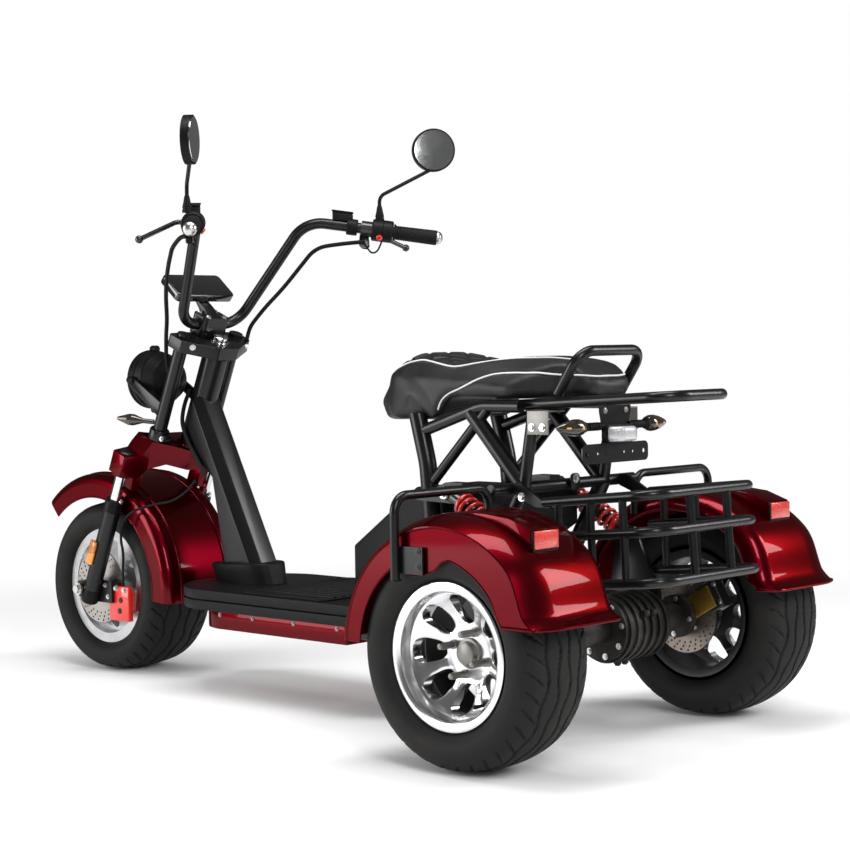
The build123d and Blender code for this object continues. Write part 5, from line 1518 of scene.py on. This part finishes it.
def collar_row(rise, inset):
    """One level of the collar, square behind and drawn to a bow in front."""
    back, bow_end = COLLAR_BACK + 12 * rise, COLLAR_BOW + 14 * rise
    half = COLLAR_HALF + 8 * rise
    middle = back + 0.4 * (bow_end - back)
    row = []
    for step in range(72):
        turn = 2 * math.pi * step / 72
        c, s = math.cos(turn), math.sin(turn)
        if c > 0:
            x, y = (bow_end - middle) * c, half * s
        else:
            x = -(middle - back) * abs(c) ** 0.5
            y = math.copysign(half * abs(s) ** 0.5, s) * (1 - 0.26 * (x / (middle - back)) ** 2)
        height = 50 - 10 * (middle + x - back) / (bow_end - back)
        row.append(at(middle + x * inset, y * inset, DECK_FACE + height * rise))
    return row


class SCOOTER_OT_deck(bpy.types.Operator):
    """Footboard, mat, case and its screws, collar, neck and the box under the seat"""

    bl_idname = "scooter.deck"
    bl_label = "Deck"

    def execute(self, context):
        eased("footboard", 5.0, steps=4)
        eased("deck_mat", 0.8)
        eased("deck_case", 3.0)
        rows = [collar_row(*row) for row in COLLAR_ROWS]
        shape = Shape()
        shape.rows(rows, ring=True, loop=True)
        collar = shape.mesh("collar")
        piece("neck_collar_hull", collar, "chassis", "black_plastic", 50, ("neck_collar",))
        eased("neck_frame", 3.0, steps=3)
        eased("underseat_box", 6.0, steps=3)
        spots = [(at(x, 165.1, 192), LEFT) for x in (610, 750, 887, 1000)]
        fasteners("case_screws", "chassis", pairs(spots), 4, 2.6, "zinc", 20, 1.3)
        return {"FINISHED"}


# Fork and steering


class SCOOTER_OT_fork(bpy.types.Operator):
    """Cast yoke, leg seals, tube clamps, front caliper, leg reflectors and their bolts"""

    bl_idname = "scooter.fork"
    bl_label = "Fork"

    def execute(self, context):
        eased("fork_yoke", 5.0, steps=3)
        eased("front_caliper", 2.4, steps=2)
        eased("leg_reflectors", 3.6, steps=3)
        eased("headlight_arms", 1.0)
        seals, clamps, cups = Shape(), Shape(), Shape()
        for sign in (1, -1):
            leg = on_fork(66, sign * 142, -224)
            seal = [
                (-26, 21.2), (-24, 23.5), (-6, 23.5), (-4, 22.4), (3, 22.4), (6, 20), (6, 14.6), (-4, 14.6),
            ]
            seals.turned(leg, STEER_UP, seal, 28)
            foot = on_fork(66, sign * 142, -500)
            seals.turned(
                foot, STEER_UP, [(-6, 12), (-3, 19), (0, 21.3), (6, 22.6), (30, 22.6), (34, 21.2)], 28
            )
            tube = on_fork(37, sign * 82, -44)
            clamps.turned(
                tube, STEER_UP, [(0, 17.3), (0, 23), (2, 24.5), (24, 24.5), (27, 23), (27, 17.3)], 30
            )
            ear = on_fork(10, sign * 82, -31)
            clamps.turned(ear - LEFT * 0.012, LEFT, [(0, 9), (24, 9), (24, 0.5)], 18)
            cup = [(0, 18), (3, 18), (5.5, 15), (6, 6), (6, 0.5)]
            cups.turned(on_fork(66, sign * 142, -92.4), STEER_UP, cup, 24)
        piece("leg_seals", seals.mesh("seals"), "fork", "black_plastic")
        piece("tube_clamps", clamps.mesh("clamps", 0.8), "fork", "frame_black")
        piece("socket_caps", cups.mesh("caps"), "fork", "dark_bolt")
        bolts = [(on_fork(10, sign * 82 + 12.2, -31), LEFT) for sign in (1, -1)]
        bolts += [(on_fork(41.5, sign * 142, -214), -STEER_AHEAD) for sign in (1, -1)]
        bolts += [(at(1475, 131.2, 224), LEFT), (at(1464, 131.2, 196), LEFT)]
        fasteners("fork_bolts", "fork", bolts, 4.6, 4, "bolt_steel", 6, 1.35)
        nuts = [(at(1534, 171.1, 215), LEFT), (at(1534, -171.1, 215), -LEFT)]
        fasteners("axle_nuts", "fork", nuts, 12, 8, "bolt_steel", 6, 1.3)
        bolts = [(at(1425, 121.8, 189), LEFT), (at(1430, 121.8, 162), LEFT)]
        fasteners("caliper_bolts", "fork", bolts, 6, 2.4, "dark_bolt", 20, 1.2)
        banjo = [(at(1442, 121.8, 218), LEFT), (at(1410, 121.8, 215), LEFT)]
        fasteners("caliper_unions", "fork", banjo, 6, 6, "bolt_steel", 6, 1.25)
        return {"FINISHED"}


BAR_END = from_head(-458, 394, 454)
BAR_WAY = (from_head(-221, 171, 501) - BAR_END).normalized()


def on_bar(back):
    """A point on the left end of the bar, some millimetres back from its tip."""
    return BAR_END + BAR_WAY * (back * MM)


def to_side(point, sign):
    return point if sign == 1 else across(point)


class SCOOTER_OT_steering(bpy.types.Operator):
    """Ribbed grips, end caps, switches, lever perches, reservoirs, mirror boots, clamps and screen"""

    bl_idname = "scooter.steering"
    bl_label = "Steering"

    def execute(self, context):
        rubber, silver, housing, red, boots, tanks, perch, pivot, wires = [Shape() for _ in range(9)]
        ahead = UP.cross(BAR_WAY).normalized()
        ahead = ahead if ahead.x > 0 else -ahead
        for sign, side in ((1, "left"), (-1, "right")):
            way = to_side(BAR_WAY, sign)
            tip = to_side(BAR_END, sign)
            fore = to_side(ahead, sign)
            start = to_side(on_bar(5), sign)
            rubber.turned(
                start, way,
                [(-1, 13.4), (0, 17.6), (4, 18.2), (100, 16.8), (103, 20.5), (106.5, 20.5), (107, 13.4)], 32
            )
            ribs(
                "grip_ribs_" + side, "fork", start + way * 0.008, start + way * 0.096, 17, 16.9, 1.1,
                "grip_rubber"
            )
            silver.turned(tip, way, [(6, 15.5), (3, 16), (-1, 15.6), (-5, 12.5), (-8, 8), (-9.5, 0.5)], 28)
            sleeve = [
                (113, 13.4), (113, 24), (116, 26.8), (136, 27), (137, 26), (138, 27), (161, 26.8),
                (164, 24), (164, 13.4)
            ]
            housing.turned(tip, way, sleeve, 36)
            down = (-fore * 0.75 - UP * 0.66).normalized()
            red.turned(
                to_side(on_bar(146), sign) + down * 0.0262, down,
                [(0, 7.5), (3, 7.5), (4.6, 6), (5.2, 0.5)], 20
            )
            foot = to_side(on_bar(145), sign) + fore * 0.013 + UP * 0.0235
            boots.turned(
                foot, UP, [(0, 11), (4, 11.5), (9, 10), (12, 11), (22, 8.6), (34, 6.4), (38, 5.2)], 24
            )
            middle = to_side(on_bar(236), sign) + UP * 0.0125 + fore * 0.004
            box = [middle + way * (x * MM) + fore * (y * MM) for x, y in rounded(25, 15, 5)]
            tanks.slab(box, UP * 0.019)
            lid = [middle + way * (x * MM) + fore * (y * MM) for x, y in rounded(26.5, 16.5, 5)]
            tanks.slab([point + UP * 0.0202 for point in lid], UP * 0.004)
            tanks.turned(
                to_side(on_bar(200), sign), way,
                [(0, 13.4), (0, 19), (3, 20), (23, 20), (26, 19), (26, 13.4)], 24
            )
            low = to_side(on_bar(184), sign) - UP * 0.036
            arm = [(-11, 22), (11, 22), (13, -6), (6, -13), (-6, -13), (-13, -6)]
            perch.slab([low + way * (x * MM) + UP * (z * MM) + fore * 0.004 for x, z in arm], fore * 0.014)
            pin = [(0, 11), (18, 11), (20, 9.6), (20, 6.5), (22, 6.5), (22, 0.5)]
            pivot.turned(low + fore * 0.020, -fore, pin, 24)
            loom = from_head(*((-339, 303.7, 447.2) if sign == 1 else (-330, -262, 448)))
            turn_in = to_side(on_bar(152), sign) - UP * 0.050 - fore * 0.004
            end = to_side(on_bar(140), sign) - UP * 0.024
            wires.tube(smooth_path([loom, low.lerp(turn_in, 0.5) - UP * 0.012, turn_in, end]), 2.2, 8)
            sheath = from_head(*((-300, 290, 446) if sign == 1 else (-290, -226, 444))) - loom
            sheath.normalize()
            wires.turned(loom - sheath * 0.004, sheath, [(0, 4), (0, 6.2), (14, 6.2), (15, 4)], 16)
        piece("lever_perches", perch.mesh("perches", 1.5), "fork", "black_plastic")
        piece("lever_pivots", pivot.mesh("pivots"), "fork", "zinc")
        piece("switch_wires", wires.mesh("wires"), "fork", "hose_rubber")
        piece("grip_sleeves", rubber.mesh("grips"), "fork", "grip_rubber", nodes=("grips",))
        piece("bar_caps", silver.mesh("caps"), "fork", "bolt_steel")
        piece(
            "switch_shells", housing.mesh("shells"), "fork", "black_plastic",
            nodes=("switch_housings",)
        )
        piece("switch_buttons", red.mesh("buttons"), "fork", "button_red")
        piece("mirror_boots", boots.mesh("boots"), "fork", "hose_rubber")
        piece("brake_reservoirs", tanks.mesh("tanks", 1.2), "fork", "black_plastic")
        eased("top_clamp", 3.0, steps=3)
        eased("bar_clamp", 2.4)
        eased("display", 4.0, "screen_black", 3)
        bolts = [(on_fork(x, y, 279.4), STEER_UP) for x in (32, 68) for y in (24, -24)]
        way = Vector((-0.77, 0.55, -0.33))
        bolts += pairs([(at(1174.4, 84.7, 813.7), way)])
        fasteners("clamp_bolts", "fork", bolts, 5.5, 5, "bolt_steel", 6, 1.35)
        nut = Shape().turned(
            on_fork(0, 0, 227), STEER_UP,
            [(0, 24), (4, 24), (5, 19), (16, 19), (18, 17), (19, 10), (19, 0.5)], 24
        )
        piece("stem_nut", nut.mesh("nut"), "fork", "chrome")
        return {"FINISHED"}


class SCOOTER_OT_headlight(bpy.types.Operator):
    """Ribbed bowl, bezel, domed glass and reflector of the headlight, and the front signals"""

    bl_idname = "scooter.headlight"
    bl_label = "Headlight"

    def execute(self, context):
        middle = from_head(142, 0, 119)
        ahead = Vector((1, 0, 0))
        outline = [(-72, 0.5), (-71, 12), (-69, 22)]
        skin = [(-69, 22), (-48, 50), (-14, 67), (10, 72)]
        for (x0, r0), (x1, r1) in zip(skin, skin[1:]):
            outline += [(x0 + (x1 - x0) * k / 5, r0 + (r1 - r0) * k / 5) for k in range(1, 6)]
            outline += [(x1 + 0.6, r1 - 1.8), (x1 + 2.6, r1 - 1.4), (x1 + 3.2, r1 + 0.7)]
        outline += [(14, 72), (28, 72), (28, 58), (18, 38), (14, 0.5)]
        bowl = Shape().turned(middle, ahead, outline, 56)
        for spot in ring(middle + ahead * 0.003, ahead, 76, 4, 45):
            bowl.turned(spot, ahead, [(0, 8), (2, 9), (20, 9), (22, 8), (22, 0.5)], 20)
        bowl.turned(middle - ahead * 0.074, ahead, [(-6, 9), (0, 10), (4, 16), (6, 16)], 20)
        piece(
            "headlight_bowl", bowl.mesh("bowl"), "fork", "black_plastic",
            nodes=("headlight",)
        )
        bezel = [(27, 64), (27, 73), (30, 74), (35, 73), (38, 68), (37, 65), (33, 64)]
        rim = Shape().turned(middle, ahead, bezel, 56)
        piece("headlight_bezel", rim.mesh("bezel"), "fork", "black_plastic")
        dome = [(30, 63), (34, 63), (37, 55), (39.5, 40), (41, 22), (41.6, 0.5)]
        cover = Shape().turned(middle, ahead, dome, 56)
        piece(
            "headlight_glass", cover.mesh("glass"), "fork", "lamp_glass",
            nodes=("headlight_lens",)
        )
        dish = Shape().turned(middle, ahead, [(28.5, 61), (26, 54), (21, 36), (18, 22), (18, 0.5)], 48)
        for y in (-24, 24):
            dish.turned(middle + LEFT * (y * MM), ahead, [(20, 18), (26, 18), (28, 14), (29, 0.5)], 28)
        piece("headlight_dish", dish.mesh("dish"), "fork", "chrome")
        spots = [(spot, ahead) for spot in ring(middle + ahead * 0.0253, ahead, 76, 4, 45)]
        fasteners("headlight_screws", "fork", spots, 4, 3, "bolt_steel", 20, 1.3)
        eased("front_signals", 2.0, "smoked_lens", 2)
        return {"FINISHED"}


class SCOOTER_OT_finishes(bpy.types.Operator):
    """Finishes of the pieces that keep their CAD shape"""

    bl_idname = "scooter.finishes"
    bl_label = "Finishes"

    def execute(self, context):
        for node, made in NODES.items():
            made.data.materials.clear()
            made.data.materials.append(finish(look_of(node)))
        return {"FINISHED"}


# Stage

LENS_PIXELS = 2047.0
FRAME_PIXELS = 850.0
SENSOR = 36.0
CAMERA_SPOT = (-2610.5, 3268.5, 817.2)
CAMERA_TURN = (-46.507, -2.316, -0.921)


def stage_floor():
    f = Finish("studio_floor")
    reach = f.add("ShaderNodeVectorMath", {"operation": "LENGTH"}, {0: f.place}, 1)
    fade = f.ramp(reach, 1.5, 3.0)
    paper = f.add(
        "ShaderNodeBsdfDiffuse", None,
        {"Color": f.mixed(f.noise(3, 2), (0.90, 0.90, 0.90), (0.92, 0.92, 0.92))}
    )
    white = f.add("ShaderNodeEmission", None, {"Color": (1.0, 1.0, 1.0), "Strength": 1.0})
    path = f.add("ShaderNodeLightPath", output="Is Camera Ray")
    seen = f.add("ShaderNodeMixShader", None, {0: fade * path, 1: paper, 2: white})
    f.add("ShaderNodeOutputMaterial", None, {"Surface": seen})
    return f.material


def soft_lamp(name, spot, target, size, watts):
    lamp = bpy.data.lights.new(name, "AREA")
    lamp.shape = "RECTANGLE"
    lamp.size, lamp.size_y = size
    lamp.energy = watts
    holder = bpy.data.objects.new(name, lamp)
    bpy.context.scene.collection.objects.link(holder)
    holder.location = spot
    holder.rotation_euler = (target - spot).to_track_quat("-Z", "Y").to_euler()


class SCOOTER_OT_stage(bpy.types.Operator):
    """Pale floor, soft lamps and the camera"""

    bl_idname = "scooter.stage"
    bl_label = "Stage"

    def execute(self, context):
        studio = settings().studio
        scene = context.scene
        scene.view_settings.view_transform = "Standard"
        floor = bpy.data.meshes.new("floor")
        floor.from_pydata([(-9, -9, 0), (9, -9, 0), (9, 9, 0), (-9, 9, 0)], [], [(0, 1, 2, 3)])
        floor.materials.append(stage_floor())
        sheet = bpy.data.objects.new("floor", floor)
        scene.collection.objects.link(sheet)
        world = bpy.data.worlds.new("studio")
        scene.world = world
        world.use_nodes = True
        tree = world.node_tree
        tree.nodes.clear()
        path = tree.nodes.new("ShaderNodeLightPath")
        out = tree.nodes.new("ShaderNodeOutputWorld")
        level = None
        for label, strength in (
            (None, studio.air), ("Is Glossy Ray", studio.sheen), ("Is Camera Ray", 1.0),
            ("Is Transmission Ray", 1.0)
        ):
            sky = tree.nodes.new("ShaderNodeBackground")
            sky.inputs["Color"].default_value = (1, 1, 1, 1)
            sky.inputs["Strength"].default_value = strength
            if label:
                both = tree.nodes.new("ShaderNodeMixShader")
                tree.links.new(path.outputs[label], both.inputs[0])
                tree.links.new(level.outputs[0], both.inputs[1])
                tree.links.new(sky.outputs[0], both.inputs[2])
                level = both
            else:
                level = sky
        tree.links.new(level.outputs[0], out.inputs[0])
        middle = Vector((0, 0, 0.5))
        soft_lamp("key", Vector((2.4, 3.4, 1.3)), middle, (2.2, 2.2), studio.key)
        soft_lamp("top", Vector((-0.4, 0.3, 3.0)), middle, (2.2, 1.0), studio.top)
        soft_lamp("fill", Vector((-2.8, -2.2, 1.9)), middle, (1.0, 1.4), studio.fill)
        soft_lamp("camera_side", Vector((-3.2, 1.8, 2.2)), middle, (0.8, 1.6), studio.side)
        camera = bpy.data.cameras.new("camera")
        camera.sensor_fit = "HORIZONTAL"
        camera.sensor_width = SENSOR
        camera.lens = LENS_PIXELS * SENSOR / FRAME_PIXELS
        camera.clip_end = 60
        yaw, pitch, roll = [math.radians(angle) for angle in CAMERA_TURN]
        ahead = Vector((math.cos(yaw) * math.cos(pitch), math.sin(yaw) * math.cos(pitch), math.sin(pitch)))
        level = Vector((math.sin(yaw), -math.cos(yaw), 0))
        upright = level.cross(ahead)
        right = level * math.cos(roll) + upright * math.sin(roll)
        upright = upright * math.cos(roll) - level * math.sin(roll)
        holder = bpy.data.objects.new("camera", camera)
        scene.collection.objects.link(holder)
        axes = Matrix((right, upright, -ahead)).transposed().to_4x4()
        holder.matrix_world = Matrix.Translation(at(*CAMERA_SPOT)) @ axes
        scene.camera = holder
        return {"FINISHED"}


PIECE_OPERATORS = (
    SCOOTER_OT_finishes, SCOOTER_OT_tyres, SCOOTER_OT_wheels, SCOOTER_OT_fenders, SCOOTER_OT_seat,
    SCOOTER_OT_suspension, SCOOTER_OT_drive, SCOOTER_OT_rear_end, SCOOTER_OT_deck, SCOOTER_OT_fork,
    SCOOTER_OT_steering, SCOOTER_OT_headlight, SCOOTER_OT_stage,
)


class SCOOTER_PT_pieces(bpy.types.Panel):
    """The scooter's pieces, in the order in which they are made"""

    bl_idname = "SCOOTER_PT_pieces"
    bl_label = "Scooter"
    bl_space_type = "VIEW_3D"
    bl_region_type = "UI"
    bl_category = "Scooter"

    def draw(self, context):
        for operator in PIECE_OPERATORS:
            self.layout.operator(operator.bl_idname)


CLASSES = (
    ScooterPaint, ScooterTread, ScooterSeat, ScooterStudio, ScooterSettings, *PIECE_OPERATORS,
    SCOOTER_PT_pieces,
)


def register():
    for made in CLASSES:
        bpy.utils.register_class(made)
    bpy.types.Scene.scooter = bpy.props.PointerProperty(type=ScooterSettings)


def unregister():
    del bpy.types.Scene.scooter
    for made in reversed(CLASSES):
        bpy.utils.unregister_class(made)


def main():
    register()
    for operator in PIECE_OPERATORS:
        group, name = operator.bl_idname.split(".")
        getattr(getattr(bpy.ops, group), name)()


if __name__ == "__main__":
    main()
